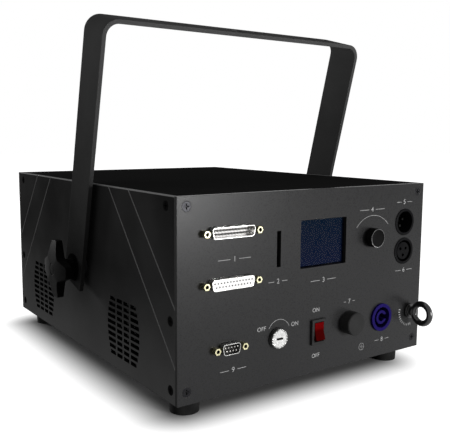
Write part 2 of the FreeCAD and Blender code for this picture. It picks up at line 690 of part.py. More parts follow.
def left_side_panel():
    """Plate between the end panels, as high as the case."""
    blank = box("side_blank", (LEFT, INNER, UNDER), "side_thick", "case_depth - 2*panel_thick", "case_height")
    grooves = [groove("groove_front_long", FACE, "1", "groove_long_top", "groove_long_drop"),
               groove("groove_front_short", FACE, "1", "groove_short_top", "groove_short_drop"),
               groove("groove_rear_long", REAR, "-1", "rear_long_top", "rear_long_drop"),
               groove("groove_rear_short", REAR, "-1", "rear_short_top", "rear_short_drop")]
    vents = [vent_slots(f"vent_{number}", centre) for number, centre in enumerate(VENT_Y)]
    holes = copies("side_holes", screw_hole, left_screws)
    pivot = cylinder("pivot_hole", (f"{LEFT} - over_cut", PIVOT_Y, PIVOT_Z), "x", "boss_spigot + 2*fit_gap",
                     "side_thick + 2*over_cut")
    vented = cut("side_vented", blank, [group("side_openings", vents + [holes, pivot])])
    return cut("left_side_panel", vented, [group("side_grooves", grooves)])


left_panel = keep(left_side_panel())
keep(mirror("right_side_panel", left_panel))


# Yoke, its pivots and the clamp knobs
LEG_INNER = f"({LEFT} - yoke_gap)"
LEG_OUTER = f"({LEFT} - yoke_gap - yoke_thick)"
KNOB_FACE = f"({LEG_OUTER} - washer_thick - run_gap)"


def yoke_bracket():
    """Flat bar bent to a U, leaning about its pivot, with the clamp bolt's hole in the middle of the bar."""
    inner = "(case_width/2 + yoke_gap)"
    outer = "(case_width/2 + yoke_gap + yoke_thick)"
    crown = "(yoke_reach - yoke_thick)"
    corners = [(f"-{outer}", "-yoke_tail"), (f"-{outer}", "yoke_reach"), (outer, "yoke_reach"),
               (outer, "-yoke_tail"), (inner, "-yoke_tail"), (inner, crown), (f"-{inner}", crown),
               (f"-{inner}", "-yoke_tail")]
    body, sketch, pad = padded_outline("yoke_bar", "XZ_Plane", corners, "yoke_width", symmetric=True)
    bends = ((outer, "yoke_reach", "yoke_bend"), (inner, crown, "yoke_bend - yoke_thick"))
    feature = pad
    for corner_x, corner_z, radius in bends:
        far_x = value(corner_x)
        far_z = value(corner_z)
        feature = round_edges(body, feature, radius, lambda middle, direction: (
            abs(direction.y) > 0.999 and abs(abs(middle.x) - far_x) < 0.01 and abs(middle.z - far_z) < 0.01))
    hole_sketch = body.newObject("Sketcher::SketchObject", "clamp_hole_outline")
    hole_sketch.AttachmentSupport = (origin_plane(body, "XY_Plane"), "")
    hole_sketch.MapMode = "FlatFace"
    hole_sketch.addGeometry(Part.Circle(FreeCAD.Vector(), Z_AXIS, value("clamp_hole/2")), False)
    hole_sketch.addConstraint(Sketcher.Constraint("Coincident", 0, 3, -1, 1))
    size = hole_sketch.addConstraint(Sketcher.Constraint("Diameter", 0, value("clamp_hole")))
    hole_sketch.setExpression(f"Constraints[{size}]", bind("clamp_hole"))
    pocket = body.newObject("PartDesign::Pocket", "clamp_hole_pocket")
    pocket.Profile = hole_sketch
    pocket.Reversed = True
    pocket.setExpression("Length", bind("yoke_reach + over_cut"))
    doc.recompute()
    place(body, ("0", PIVOT_Y, PIVOT_Z))
    body.Placement = FreeCAD.Placement(FreeCAD.Vector(), FreeCAD.Rotation(X_AXIS, value("yoke_lean")))
    body.setExpression("Placement.Rotation.Angle", bind("yoke_lean"))
    span = "case_width + 2*yoke_gap + 2*yoke_thick + 2*over_cut"
    pivot = cylinder("yoke_pivot_tool", (f"{LEG_OUTER} - over_cut", PIVOT_Y, PIVOT_Z), "x",
                     "stud_diameter + 2*shaft_gap", span)
    return cut("yoke_bracket", body, [pivot])


def pivot_boss():
    """The left boss: a shoulder outside the side panel and a spigot through it, bored for the stud."""
    shoulder = cylinder("boss_shoulder", (LEFT, PIVOT_Y, PIVOT_Z), "-x", "boss_diameter",
                        "yoke_gap - run_gap")
    spigot = cylinder("boss_spigot_solid", (LEFT, PIVOT_Y, PIVOT_Z), "x", "boss_spigot",
                      "side_thick + boss_inside")
    bore = cylinder("boss_bore", (f"{LEFT} - yoke_gap", PIVOT_Y, PIVOT_Z), "x", "stud_diameter + 2*shaft_gap",
                    "yoke_gap + side_thick + boss_inside + over_cut")
    return cut("left_pivot_boss", fuse("boss_blank", [shoulder, spigot]), [bore])


def friction_washer():
    """The left washer, on the outer face of the yoke's leg."""
    disc = cylinder("washer_disc", (LEG_OUTER, PIVOT_Y, PIVOT_Z), "-x", "washer_diameter", "washer_thick")
    bore = cylinder("washer_bore", (LEG_OUTER, PIVOT_Y, PIVOT_Z), "-x", "stud_diameter + 2*shaft_gap",
                    "washer_thick")
    return cut("left_friction_washer", disc, [bore])


def knob_lobes():
    """Plate with four lobes round the knob's axis, hollowed between them, and its face crowned both ways."""
    reach = "knob_diameter/2"
    half = "knob_tip/2"
    corners = [(reach, f"-{half}"), (reach, half), ("knob_hollow", "knob_hollow"),
               (half, reach), (f"-{half}", reach), ("-knob_hollow", "knob_hollow"),
               (f"-{reach}", half), (f"-{reach}", f"-{half}"), ("-knob_hollow", "-knob_hollow"),
               (f"-{half}", f"-{reach}"), (half, f"-{reach}"), ("knob_hollow", "-knob_hollow")]
    body, sketch, pad = padded_outline("knob_lobe", "YZ_Plane", corners, "knob_thick")
    between = value(f"({reach} + knob_hollow)/2")
    tips = round_edges(body, pad, "knob_round", lambda middle, direction: (
        abs(direction.x) > 0.999 and max(abs(middle.y), abs(middle.z)) > between))
    round_edges(body, tips, "knob_waist", lambda middle, direction: (
        abs(direction.x) > 0.999 and max(abs(middle.y), abs(middle.z)) < between
        and abs(abs(middle.y) - abs(middle.z)) < 0.01))
    outer = f"{KNOB_FACE} - knob_length"
    place(body, (outer, PIVOT_Y, PIVOT_Z))
    centre = f"{outer} + knob_crown"
    width = "knob_diameter + 2*over_cut"
    upright = cylinder("knob_upright_crown", (centre, PIVOT_Y, f"{PIVOT_Z} - ({width})/2"), "z",
                       "2*knob_crown", width)
    level = cylinder("knob_level_crown", (centre, f"{PIVOT_Y} - ({width})/2", PIVOT_Z), "y",
                     "2*knob_crown", width)
    return shared("knob_lobes", shared("knob_crowned_once", body, upright), level)


def left_clamp_knob():
    """Neck and lobes, bored for the stud, with a shallow recess in the outer face."""
    at = (KNOB_FACE, PIVOT_Y, PIVOT_Z)
    neck = cylinder("knob_neck_solid", at, "-x", "knob_neck", "knob_length - knob_thick/2")
    bore = cylinder("knob_bore", at, "-x", "stud_diameter + 2*fit_gap", "stud_embed")
    recess = cylinder("knob_recess_tool", (f"{KNOB_FACE} - knob_length - over_cut", PIVOT_Y, PIVOT_Z), "x",
                      "knob_recess", "knob_recess_depth + over_cut")
    return cut("left_clamp_knob", fuse("knob_blank", [neck, knob_lobes()]), [bore, recess])


def left_clamp_stud():
    """Threaded stud from inside the knob to the boss's inner end."""
    return cylinder("left_clamp_stud", (f"{KNOB_FACE} - stud_embed", PIVOT_Y, PIVOT_Z), "x", "stud_diameter",
                    "stud_embed + run_gap + washer_thick + yoke_thick + yoke_gap + side_thick + boss_inside")


keep(yoke_bracket())
boss = pivot_boss()
keep(group("pivot_bosses", [boss, mirror("right_pivot_boss", boss)]))
washer = friction_washer()
keep(group("friction_washers", [washer, mirror("right_friction_washer", washer)]))
knob = keep(left_clamp_knob())
keep(mirror("right_clamp_knob", knob))
stud = keep(left_clamp_stud())
keep(mirror("right_clamp_stud", stud))


# Signal and interlock ports
FLANGE_BACK = f"({INNER} + dsub_flange_thick)"
SHELL_RIM = f"({INNER} - dsub_depth)"
PORTS = {
    "signal_in": (across("signal_in_x"), up("signal_in_z"), "signal_width", "signal_flange",
                  "signal_spacing"),
    "signal_out": (across("signal_out_x"), up("signal_out_z"), "signal_width", "signal_flange",
                   "signal_spacing"),
    "interlock": (across("interlock_x"), up("interlock_z"), "interlock_width", "interlock_flange",
                  "interlock_spacing"),
}


def port_outline(name, port, grow, start, length):
    """A block with a port's tapered outline, grown by some amount, from a start towards -Y."""
    x, z, width, flange, spacing = PORTS[port]
    wide = f"({width}/2 + {grow})"
    narrow = f"({width}/2 + {grow} - dsub_taper)"
    tall = f"(dsub_height/2 + {grow})"
    corners = [(f"-{wide}", tall), (f"-{narrow}", f"-{tall}"), (narrow, f"-{tall}"), (wide, tall)]
    body, sketch, pad = padded_outline(name, "XZ_Plane", corners, length)
    round_edges(body, pad, f"dsub_round + {grow}", along(Y_AXIS))
    return place(body, (x, start, z))


def jack_places(y):
    """Both jackscrews of every port, at one depth."""
    spots = []
    for x, z, width, flange, spacing in PORTS.values():
        spots.append((f"({x} - {spacing}/2)", y, z, "y"))
        spots.append((f"({x} + {spacing}/2)", y, z, "y"))
    return spots


def jack_hole():
    """Clearance for a jackscrew's shank through the panel and a flange."""
    return cylinder("jack_hole_master", ("0", "0", "-over_cut"), "z", "jack_shank + 2*fit_gap",
                    "panel_thick + dsub_flange_thick + 2*over_cut")


jack_tool = jack_hole()


def port_shell(port):
    """Pressed metal shell with its flange behind the panel."""
    x, z, width, flange, spacing = PORTS[port]
    plate = box(port + "_flange_plate", (f"{x} - {flange}/2", INNER, f"{z} - dsub_flange_height/2"), flange,
                "dsub_flange_thick", "dsub_flange_height")
    outside = port_outline(port + "_shell_outside", port, "0", FLANGE_BACK, "dsub_flange_thick + dsub_depth")
    inside = port_outline(port + "_shell_inside", port, "(-dsub_wall)", f"{FLANGE_BACK} + over_cut",
                          "dsub_flange_thick + dsub_depth + 2*over_cut")
    holes = copies(port + "_flange_holes", jack_tool, jack_places(FACE))
    return cut(port + "_shell", fuse(port + "_shell_blank", [plate, outside]), [inside, holes])


def port_pins(port, rows):
    """Places of a port's contacts, the longer row above."""
    x, z, width, flange, spacing = PORTS[port]
    spots = []
    for count, side in zip(rows, (1, -1)):
        for number in range(count):
            step = number - (count - 1) / 2
            spots.append((f"({x} + {step}*pin_pitch)", f"({SHELL_RIM} + pin_setback)",
                          f"({z} + {side}*pin_rows/2)", "y"))
    return spots


def port_insulator(port, setback, holes):
    """Moulding that fills the shell up to a setback from its rim, with a block behind the flange."""
    x, z, width, flange, spacing = PORTS[port]
    plug = port_outline(port + "_plug", port, "(-dsub_wall - fit_gap)", FLANGE_BACK,
                        f"dsub_flange_thick + dsub_depth - {setback}")
    block = box(port + "_block", (f"{x} - {width}/2", FLANGE_BACK, f"{z} - dsub_height/2"), width,
                "dsub_block", "dsub_height")
    return cut(port + "_insulator", fuse(port + "_insulator_blank", [plug, block]), [holes])


def long_pin(name, gap):
    """A contact from just behind the shell's rim to behind its insulator, grown by a gap."""
    return cylinder(name, ("0", "0", f"-{gap}"), "z", f"pin_diameter + 2*{gap}",
                    f"dsub_depth - pin_setback + dsub_flange_thick + dsub_block + pin_tail + 2*{gap}")


def jackscrew():
    """Hexagonal jackscrew along +Z, tapped in front, with a shank through the panel and flange."""
    nut = hexagon("jack_hexagon", ("0", "0", "0"), "z", "jack_across", "jack_length")
    shank = cylinder("jack_shank_solid", ("0", "0", "jack_length"), "z", "jack_shank",
                     "panel_thick + dsub_flange_thick")
    bore = cylinder("jack_bore_tool", ("0", "0", "0"), "z", "jack_bore", "jack_bore_depth")
    return cut("jack_master", fuse("jack_blank", [nut, shank]), [bore])


for port_name in PORTS:
    keep(port_shell(port_name))
pin = long_pin("pin_master", "0")
pin_hole = long_pin("pin_hole_master", "fit_gap")
contact_hole = cylinder("contact_hole_master", ("0", "0", "0"), "z", "socket_bore", "socket_depth")
signal_spots = port_pins("signal_in", SIGNAL_ROW_COUNTS)
interlock_spots = port_pins("interlock", INTERLOCK_ROW_COUNTS)
contact_spots = [(x, f"({SHELL_RIM} + dsub_recess)", z, turn)
                 for x, y, z, turn in port_pins("signal_out", SIGNAL_ROW_COUNTS)]
keep(port_insulator("signal_in", "dsub_cavity", copies("signal_in_holes", pin_hole, signal_spots)))
keep(port_insulator("signal_out", "dsub_recess", copies("signal_out_holes", contact_hole, contact_spots)))
keep(port_insulator("interlock", "dsub_cavity", copies("interlock_holes", pin_hole, interlock_spots)))
keep(copies("jackscrews", jackscrew(), jack_places(f"({FACE} - jack_length)")))


# Round data sockets
DATA_X = across("data_x")
DATA_IN_Z = up("data_in_z")
DATA_OUT_Z = f"({DATA_IN_Z} - data_pitch)"
DATA_RIM = f"({FACE} - data_lip)"


def data_angle(number):
    """Direction of a data contact, in degrees, one of them straight down."""
    return 360 / DATA_PINS * number - 90


def data_spots(y, z):
    """Places of the data contacts at one depth."""
    spots = []
    for number in range(DATA_PINS):
        step_x = f"data_pin_circle * cos({data_angle(number)} deg)"
        step_z = f"data_pin_circle * sin({data_angle(number)} deg)"
        spots.append((f"({DATA_X} + {step_x})", y, f"({z} + {step_z})", "y"))
    return spots


def data_shell(name, z):
    """A socket's shell: a barrel with a flange behind the panel, an open cavity and a seat for its insert."""
    barrel = cylinder(name + "_barrel", (DATA_X, DATA_RIM, z), "y", "data_diameter", "data_lip + data_depth")
    flange = box(name + "_flange", (f"{DATA_X} - data_flange/2", INNER, f"{z} - data_flange_height/2"),
                 "data_flange", "data_flange_thick", "data_flange_height")
    cavity = cylinder(name + "_cavity", (DATA_X, DATA_RIM, z), "y", "data_diameter - 2*data_wall",
                      "data_lip + data_cavity")
    seat = cylinder(name + "_seat", (DATA_X, DATA_RIM, z), "y", "data_insert + 2*fit_gap",
                    "data_lip + data_depth + over_cut")
    return cut(name + "_shell", fuse(name + "_blank", [barrel, flange]), [cavity, seat])


def data_in_housing():
    """Shell round an open cavity, with an insert at its back that holds the pins."""
    front = f"({FACE} + data_cavity)"
    insert = cylinder("data_in_insert_blank", (DATA_X, front, DATA_IN_Z), "y", "data_insert",
                      "data_depth - data_cavity")
    hole = cylinder("data_pin_hole", ("0", "0", "0"), "z", "data_pin + 2*fit_gap", "data_pin_root + fit_gap")
    holes = copies("data_pin_holes", hole, data_spots(front, DATA_IN_Z))
    drilled = cut("data_in_insert", insert, [holes])
    return group("data_in_housing", [data_shell("data_in", DATA_IN_Z), drilled])


def data_out_housing():
    """Shell with an insert that stands forward in its cavity and has contact holes."""
    front = f"({DATA_RIM} + data_core_setback)"
    insert = cylinder("data_out_insert_blank", (DATA_X, front, DATA_OUT_Z), "y", "data_insert",
                      "data_lip + data_depth - data_core_setback")
    hole = cylinder("data_hole_master", ("0", "0", "0"), "z", "data_hole", "data_hole_depth")
    holes = copies("data_holes", hole, data_spots(front, DATA_OUT_Z))
    drilled = cut("data_out_insert", insert, [holes])
    return group("data_out_housing", [data_shell("data_out", DATA_OUT_Z), drilled])


keep(data_in_housing())
keep(data_out_housing())
data_pin = cylinder("data_pin_master", ("0", "0", "0"), "z", "data_pin", "data_pin_length + data_pin_root")
data_pin_spots = data_spots(f"({FACE} + data_cavity - data_pin_length)", DATA_IN_Z)
port_contacts = copies("port_contacts", pin, signal_spots + interlock_spots)
keep(group("connector_pins", [port_contacts, copies("data_contacts", data_pin, data_pin_spots)]))


# Card socket and display
CARD_X = across("card_x")
CARD_Z = up("card_z")
DISPLAY_X = across("display_x")
DISPLAY_Z = up("display_z")


def centred_box(name, x, y, z, width, depth, height):
    """A box centred across X and Z, from a depth along Y."""
    return box(name, (f"{x} - ({width})/2", y, f"{z} - ({height})/2"), width, depth, height)


def card_socket():
    """Moulding behind the panel, open towards the card slot."""
    shell = centred_box("card_shell", CARD_X, INNER, CARD_Z, "card_space + 2*card_wall",
                        "card_depth + card_wall", "card_slot_height + 2*card_wall")
    space = centred_box("card_space_tool", CARD_X, INNER, CARD_Z, "card_space", "card_depth",
                        "card_slot_height")
    return cut("card_socket", shell, [space])


def display_lens():
    """Clear plate against the inner face of the panel."""
    return centred_box("display_lens", DISPLAY_X, INNER, DISPLAY_Z, "display_width + 2*display_lap",
                       "lens_thick", "display_height + 2*display_lap")


def display_module():
    """Display behind its lens."""
    return centred_box("display_module", DISPLAY_X, f"({INNER} + lens_thick)", DISPLAY_Z,
                       "display_width + 2*display_lap + 2*module_lap", "module_thick",
                       "display_height + 2*display_lap + 2*module_lap")


keep(card_socket())
keep(display_lens())
keep(display_module())


# Rotary encoder: body with its bush, sliding shaft, turning knob
ENCODER_X = across("encoder_x")
ENCODER_Z = up("encoder_z")
KNOB_BACK = f"({FACE} - encoder_standoff)"


def encoder_body():
    """Box behind the panel with a bush through it, bored for the shaft and its travel."""
    case = centred_box("encoder_case", ENCODER_X, INNER, ENCODER_Z, "encoder_body_width",
                       "encoder_body_depth", "encoder_body_width")
    bush = cylinder("encoder_bush_solid", (ENCODER_X, FACE, ENCODER_Z), "y", "encoder_bush", "panel_thick")
    bore = cylinder("encoder_bore", (ENCODER_X, FACE, ENCODER_Z), "y", "encoder_shaft + 2*shaft_gap",
                    "panel_thick + encoder_body_depth - encoder_floor")
    return cut("encoder_body", fuse("encoder_blank", [case, bush]), [bore])


def encoder_shaft():
    """Shaft from inside the knob to a travel and a clearance short of the body's floor."""
    length = ("encoder_grip + encoder_standoff + panel_thick + encoder_body_depth - encoder_floor"
              " - encoder_travel - run_gap")
    return cylinder("encoder_shaft", (ENCODER_X, f"{KNOB_BACK} - encoder_grip", ENCODER_Z), "y",
                    "encoder_shaft", length)


def encoder_knob():
    """Round knob with a chamfered front edge, bored for the shaft."""
    at = (ENCODER_X, KNOB_BACK, ENCODER_Z)
    barrel = cylinder("encoder_knob_barrel", at, "-y", "encoder_knob_diameter",
                      "encoder_knob_length - encoder_chamfer")
    front = cone("encoder_knob_front", (ENCODER_X, f"{KNOB_BACK} - encoder_knob_length + encoder_chamfer",
                                        ENCODER_Z), "-y", "encoder_knob_diameter",
                 "encoder_knob_diameter - 2*encoder_chamfer", "encoder_chamfer")
    bore = cylinder("encoder_knob_bore", at, "-y", "encoder_shaft + 2*shaft_gap", "encoder_grip + shaft_gap")
    return cut("encoder_knob", fuse("encoder_knob_blank", [barrel, front]), [bore])


keep(encoder_body())
keep(encoder_shaft())
keep(encoder_knob())


# Key switch
KEY_X = across("key_x")
KEY_Z = up("key_z")


def key_switch_body():
    """Tube through the panel with a bezel in front and a closed end, bored for the barrel."""
    bezel = cylinder("key_bezel_ring", (KEY_X, FACE, KEY_Z), "-y", "key_bezel", "key_bezel_thick")
    tube = cylinder("key_tube", (KEY_X, FACE, KEY_Z), "y", "key_diameter + 2*shaft_gap + 2*key_wall",
                    "key_depth")
    bore = cylinder("key_bore", (KEY_X, f"{FACE} - key_bezel_thick", KEY_Z), "y",
                    "key_diameter + 2*shaft_gap", "key_bezel_thick + key_depth - key_wall")
    return cut("key_switch_body", fuse("key_blank", [bezel, tube]), [bore])


def key_barrel():
    """Turning barrel with a wide head in front of the bezel, and a level keyhole."""
    front = f"({FACE} - key_reach)"
    barrel = cylinder("key_barrel_rod", (KEY_X, front, KEY_Z), "y", "key_diameter",
                      "key_reach + key_depth - key_wall - run_gap")
    head = cylinder("key_barrel_head", (KEY_X, front, KEY_Z), "y", "key_head",
                    "key_reach - key_bezel_thick - run_gap")
    keyhole = centred_box("keyhole_tool", KEY_X, front, KEY_Z, "keyhole_length", "keyhole_depth",
                          "keyhole_width")
    return cut("key_barrel", fuse("key_barrel_blank", [barrel, head]), [keyhole])


keep(key_switch_body())
keep(key_barrel())


# Mains switch: housing with its bezel, and a rocker on a pin
ROCKER_X = across("rocker_x")
ROCKER_Z = up("rocker_z")
ROCKER_PIN_Y = f"({FACE} + rocker_hinge)"


def rocker_housing():
    """Bezel and body round the rocker's well, with a hole for its pin."""
    bezel = centred_box("rocker_bezel", ROCKER_X, f"({FACE} - rocker_bezel_thick)", ROCKER_Z,
                        "rocker_bezel_width", "rocker_bezel_thick", "rocker_bezel_height")
    body = centred_box("rocker_body", ROCKER_X, FACE, ROCKER_Z, "rocker_body_width", "rocker_body_depth",
                       "rocker_body_height")
    well = centred_box("rocker_well_tool", ROCKER_X, f"({FACE} - rocker_bezel_thick)", ROCKER_Z,
                       "rocker_width + 2*rocker_side_gap", "rocker_bezel_thick + rocker_well",
                       "2*rocker_half + 2*rocker_end_gap")
    pin_length = "(rocker_width + 2*rocker_pin_reach + 2*fit_gap)"
    pin_tool = cylinder("rocker_pin_tool", (f"{ROCKER_X} - {pin_length}/2", ROCKER_PIN_Y, ROCKER_Z), "x",
                        "rocker_pin + 2*shaft_gap", pin_length)
    return cut("rocker_housing", fuse("rocker_blank", [bezel, body]), [well, pin_tool])


def power_rocker():
    """Rocker with two faces that meet at a shallow angle, its upper face pressed level, on its pin."""
    end_rise = "(rocker_rise + rocker_half * tan(rocker_tilt * 1 deg))"
    corners = [("-rocker_rise", "0"), (f"-{end_rise}", "rocker_half"), ("0", "rocker_half"),
               ("rocker_root", "rocker_half/2"), ("rocker_root", "-rocker_half/2"), ("0", "-rocker_half"),
               (f"-{end_rise}", "-rocker_half")]
    body, sketch, pad = padded_outline("rocker_paddle", "YZ_Plane", corners, "rocker_width", symmetric=True)
    place(body, (ROCKER_X, ROCKER_PIN_Y, ROCKER_Z))
    body.Placement = FreeCAD.Placement(FreeCAD.Vector(), FreeCAD.Rotation(-X_AXIS, value("rocker_tilt")))
    body.setExpression("Placement.Rotation.Angle", bind("rocker_tilt"))
    pin_length = "(rocker_width + 2*rocker_pin_reach)"
    pivot = cylinder("rocker_pin_solid", (f"{ROCKER_X} - {pin_length}/2", ROCKER_PIN_Y, ROCKER_Z), "x",
                     "rocker_pin", pin_length)
    return fuse("power_rocker", [body, pivot])


keep(rocker_housing())
keep(power_rocker())


# Fuse holder, its cap and the fuse in it
FUSE_X = across("fuse_x")
FUSE_Z = up("fuse_z")
FUSE_SEAT = f"({FACE} - fuse_rim - run_gap)"
FUSE_START = f"({FUSE_SEAT} + fuse_stem_length - fuse_socket)"


def fuse_holder_body():
    """Barrel behind the panel with a rim in front, closed at its end."""
    rim = cylinder("fuse_rim_solid", (FUSE_X, FACE, FUSE_Z), "-y", "fuse_cap_diameter", "fuse_rim")
    barrel = cylinder("fuse_barrel_solid", (FUSE_X, FACE, FUSE_Z), "y", "fuse_barrel", "fuse_depth")
    bore = cylinder("fuse_bore", (FUSE_X, f"{FACE} - fuse_rim", FUSE_Z), "y", "fuse_stem + 2*shaft_gap",
                    "fuse_rim + fuse_depth - fuse_floor")
    return cut("fuse_holder_body", fuse("fuse_holder_blank", [rim, barrel]), [bore])


def fuse_cap():
    """Cap with a plain front and a stem that holds the fuse's end."""
    head = cylinder("fuse_cap_head", (FUSE_X, FUSE_SEAT, FUSE_Z), "-y", "fuse_cap_diameter",
                    "fuse_cap_length - fuse_chamfer")
    front = cone("fuse_cap_front", (FUSE_X, f"{FUSE_SEAT} - fuse_cap_length + fuse_chamfer", FUSE_Z), "-y",
                 "fuse_cap_diameter", "fuse_cap_diameter - 2*fuse_chamfer", "fuse_chamfer")
    stem = cylinder("fuse_stem_solid", (FUSE_X, FUSE_SEAT, FUSE_Z), "y", "fuse_stem", "fuse_stem_length")
    socket = cylinder("fuse_socket_tool", (FUSE_X, f"{FUSE_START} - shaft_gap", FUSE_Z), "y",
                      "fuse_diameter + 2*shaft_gap", "fuse_socket + shaft_gap + over_cut")
    return cut("fuse_cap", fuse("fuse_cap_blank", [head, front, stem]), [socket])


def fuse_link():
    """Glass fuse, one end in the cap's stem."""
    return cylinder("fuse_link", (FUSE_X, FUSE_START, FUSE_Z), "y", "fuse_diameter", "fuse_length")


keep(fuse_holder_body())
keep(fuse_cap())
keep(fuse_link())


# Mains inlet
INLET_X = across("inlet_x")
INLET_Z = up("inlet_z")
INLET_RIM = f"({FACE} - inlet_reach)"


def mains_inlet():
    """Round inlet with a groove round a keyed, hollow core, and a flange behind the panel."""
    barrel = cylinder("inlet_barrel", (INLET_X, INLET_RIM, INLET_Z), "y", "inlet_diameter",
                      "inlet_reach + inlet_depth")
    flange = centred_box("inlet_flange_plate", INLET_X, INNER, INLET_Z, "inlet_flange", "inlet_flange_thick",
                         "inlet_flange")
    cavity = cylinder("inlet_cavity_tool", (INLET_X, INLET_RIM, INLET_Z), "y",
                      "inlet_diameter - 2*inlet_wall", "inlet_cavity")
    core = cylinder("inlet_core_solid", (INLET_X, f"{INLET_RIM} + inlet_core_setback", INLET_Z), "y",
                    "inlet_core", "inlet_cavity - inlet_core_setback")
    bore = cylinder("inlet_core_tool", (INLET_X, INLET_RIM, INLET_Z), "y", "inlet_core_bore", "inlet_cavity")
    key = box("inlet_key_tool", (INLET_X, INLET_RIM, f"{INLET_Z} - inlet_key/2"), "inlet_core/2",
              "inlet_cavity", "inlet_key")
    open_barrel = cut("inlet_open", fuse("inlet_blank", [barrel, flange]), [cavity])
    return cut("mains_inlet", fuse("inlet_cored", [open_barrel, core]), [bore, key])


keep(mains_inlet())


# Safety eyebolt and its nut
EYE_X = across("eye_x")
EYE_Z = up("eye_z")


def eyebolt():
    """Upright ring on a neck and collar, with a threaded stud through the panel."""
    ring = primitive("Part::Torus", "eye_ring", (EYE_X, f"{FACE} - eye_reach", EYE_Z), "x",
                     {"Radius1": "(eye_bore + eye_wire)/2", "Radius2": "eye_wire/2"})
    collar = cylinder("eye_collar_solid", (EYE_X, FACE, EYE_Z), "-y", "eye_collar", "eye_collar_thick")
    neck = cylinder("eye_neck_solid", (EYE_X, FACE, EYE_Z), "-y", "eye_neck",
                    "eye_reach - (eye_bore + eye_wire)/2")
    thread = cylinder("eye_stud_solid", (EYE_X, FACE, EYE_Z), "y", "eye_stud",
                      "panel_thick + nut_height + stud_past_nut")
    return fuse("eyebolt", [ring, collar, neck, thread])


def eyebolt_nut():
    """Hexagonal nut on the stud, against the inner face of the panel."""
    nut = hexagon("nut_hexagon", (EYE_X, INNER, EYE_Z), "y", "nut_across", "nut_height")
    bore = cylinder("nut_bore", (EYE_X, INNER, EYE_Z), "y", "eye_stud + 2*fit_gap", "nut_height")
    return cut("eyebolt_nut", nut, [bore])


keep(eyebolt())
keep(eyebolt_nut())


# Connector panel, cut for everything that passes through it
def panel_hole(name, x, z, diameter):
    """A round hole through the connector panel."""
    return cylinder(name, (x, f"{FACE} - over_cut", z), "y", f"{diameter} + 2*fit_gap",
                    "panel_thick + 2*over_cut")


def panel_cutout(name, x, z, width, height):
    """A square hole through the connector panel."""
    return centred_box(name, x, f"({FACE} - over_cut)", z, width, "panel_thick + 2*over_cut", height)


def connector_panel():
    """Plate across the whole end of the case."""
    blank = box("connector_blank", (LEFT, FACE, UNDER), "case_width", "panel_thick", "case_height")
    ports = [port_outline(port + "_cutout", port, "(3*fit_gap)", f"{INNER} + over_cut",
                          "panel_thick + 2*over_cut") for port in PORTS]
    holes = [
        panel_hole("data_in_opening", DATA_X, DATA_IN_Z, "data_diameter"),
        panel_hole("data_out_opening", DATA_X, DATA_OUT_Z, "data_diameter"),
        panel_hole("encoder_opening", ENCODER_X, ENCODER_Z, "encoder_bush"),
        panel_hole("key_opening", KEY_X, KEY_Z, "key_diameter + 2*shaft_gap + 2*key_wall"),
        panel_hole("fuse_opening", FUSE_X, FUSE_Z, "fuse_barrel"),
        panel_hole("inlet_opening", INLET_X, INLET_Z, "inlet_diameter"),
        panel_hole("eye_opening", EYE_X, EYE_Z, "eye_stud"),
        panel_cutout("card_opening", CARD_X, CARD_Z, "card_slot_width", "card_slot_height"),
        panel_cutout("display_opening", DISPLAY_X, DISPLAY_Z, "display_width", "display_height"),
        panel_cutout("rocker_opening", ROCKER_X, ROCKER_Z, "rocker_body_width + 2*fit_gap",
                     "rocker_body_height + 2*fit_gap"),
    ]
    jacks = copies("panel_jack_holes", jack_tool, jack_places(FACE))
    screws = copies("panel_screw_holes", screw_hole, front_screws)
    return cut("connector_panel", blank, [group("panel_openings", ports + holes + [jacks, screws])])


keep(connector_panel())


# Optics: plate on pillars, laser modules, combiner mirrors, scanner
PLATE_LEFT = f"({LEFT} + side_thick + fan_depth + plate_side_gap)"
PLATE_NEAR = f"({REAR_INNER} - plate_rear_gap - plate_depth)"
PLATE_UNDER = f"({FLOOR} + plate_lift)"
PLATE_TOP = f"({FLOOR} + plate_lift + plate_thick)"
LASER_NEAR = f"({PLATE_NEAR} + laser_setback)"
BEAM_Z = f"({PLATE_TOP} + laser_height/2)"
BEAM_Y = f"({LASER_NEAR} + laser_length + nozzle_length + mirror_distance)"
LASER_X = [f"({PLATE_LEFT} + laser_inset + {number}*laser_pitch)" for number in range(LASERS)]
SCAN_X = f"({LASER_X[-1]} + scanner_offset)"
SCAN_Z = f"({BEAM_Z} + scan_rise)"


def plate_pillars():
    """Round pillars between the base plate and the optical plate."""
    pillar = cylinder("pillar_master", ("0", "0", "0"), "z", "pillar_diameter", "plate_lift")
    far_x = f"({PLATE_LEFT} + plate_width - pillar_inset)"
    far_y = f"({PLATE_NEAR} + plate_depth - pillar_inset)"
    spots = [(x, y, FLOOR, "z") for x in (f"({PLATE_LEFT} + pillar_inset)", far_x)
             for y in (f"({PLATE_NEAR} + pillar_inset)", far_y)]
    return copies("plate_pillars", pillar, spots)


def laser_modules():
    """Three modules in a row, each with a nozzle."""
    housing = box("laser_housing", ("-laser_width/2", "0", "0"), "laser_width", "laser_length",
                  "laser_height")
    nozzle = cylinder("laser_nozzle", ("0", "laser_length", "laser_height/2"), "y", "nozzle_diameter",
                      "nozzle_length")
    module = fuse("laser_master", [housing, nozzle])
    return copies("laser_modules", module, [(x, LASER_NEAR, PLATE_TOP, "z") for x in LASER_X])


def mirror_mounts():
    """Low blocks set diagonally in front of the modules."""
    block = box("mount_master", ("-mirror_width/2", "-mount_depth/2", "0"), "mirror_width", "mount_depth",
                "mount_height")
    return copies("mirror_mounts", block, [(x, BEAM_Y, PLATE_TOP, "diagonal") for x in LASER_X])


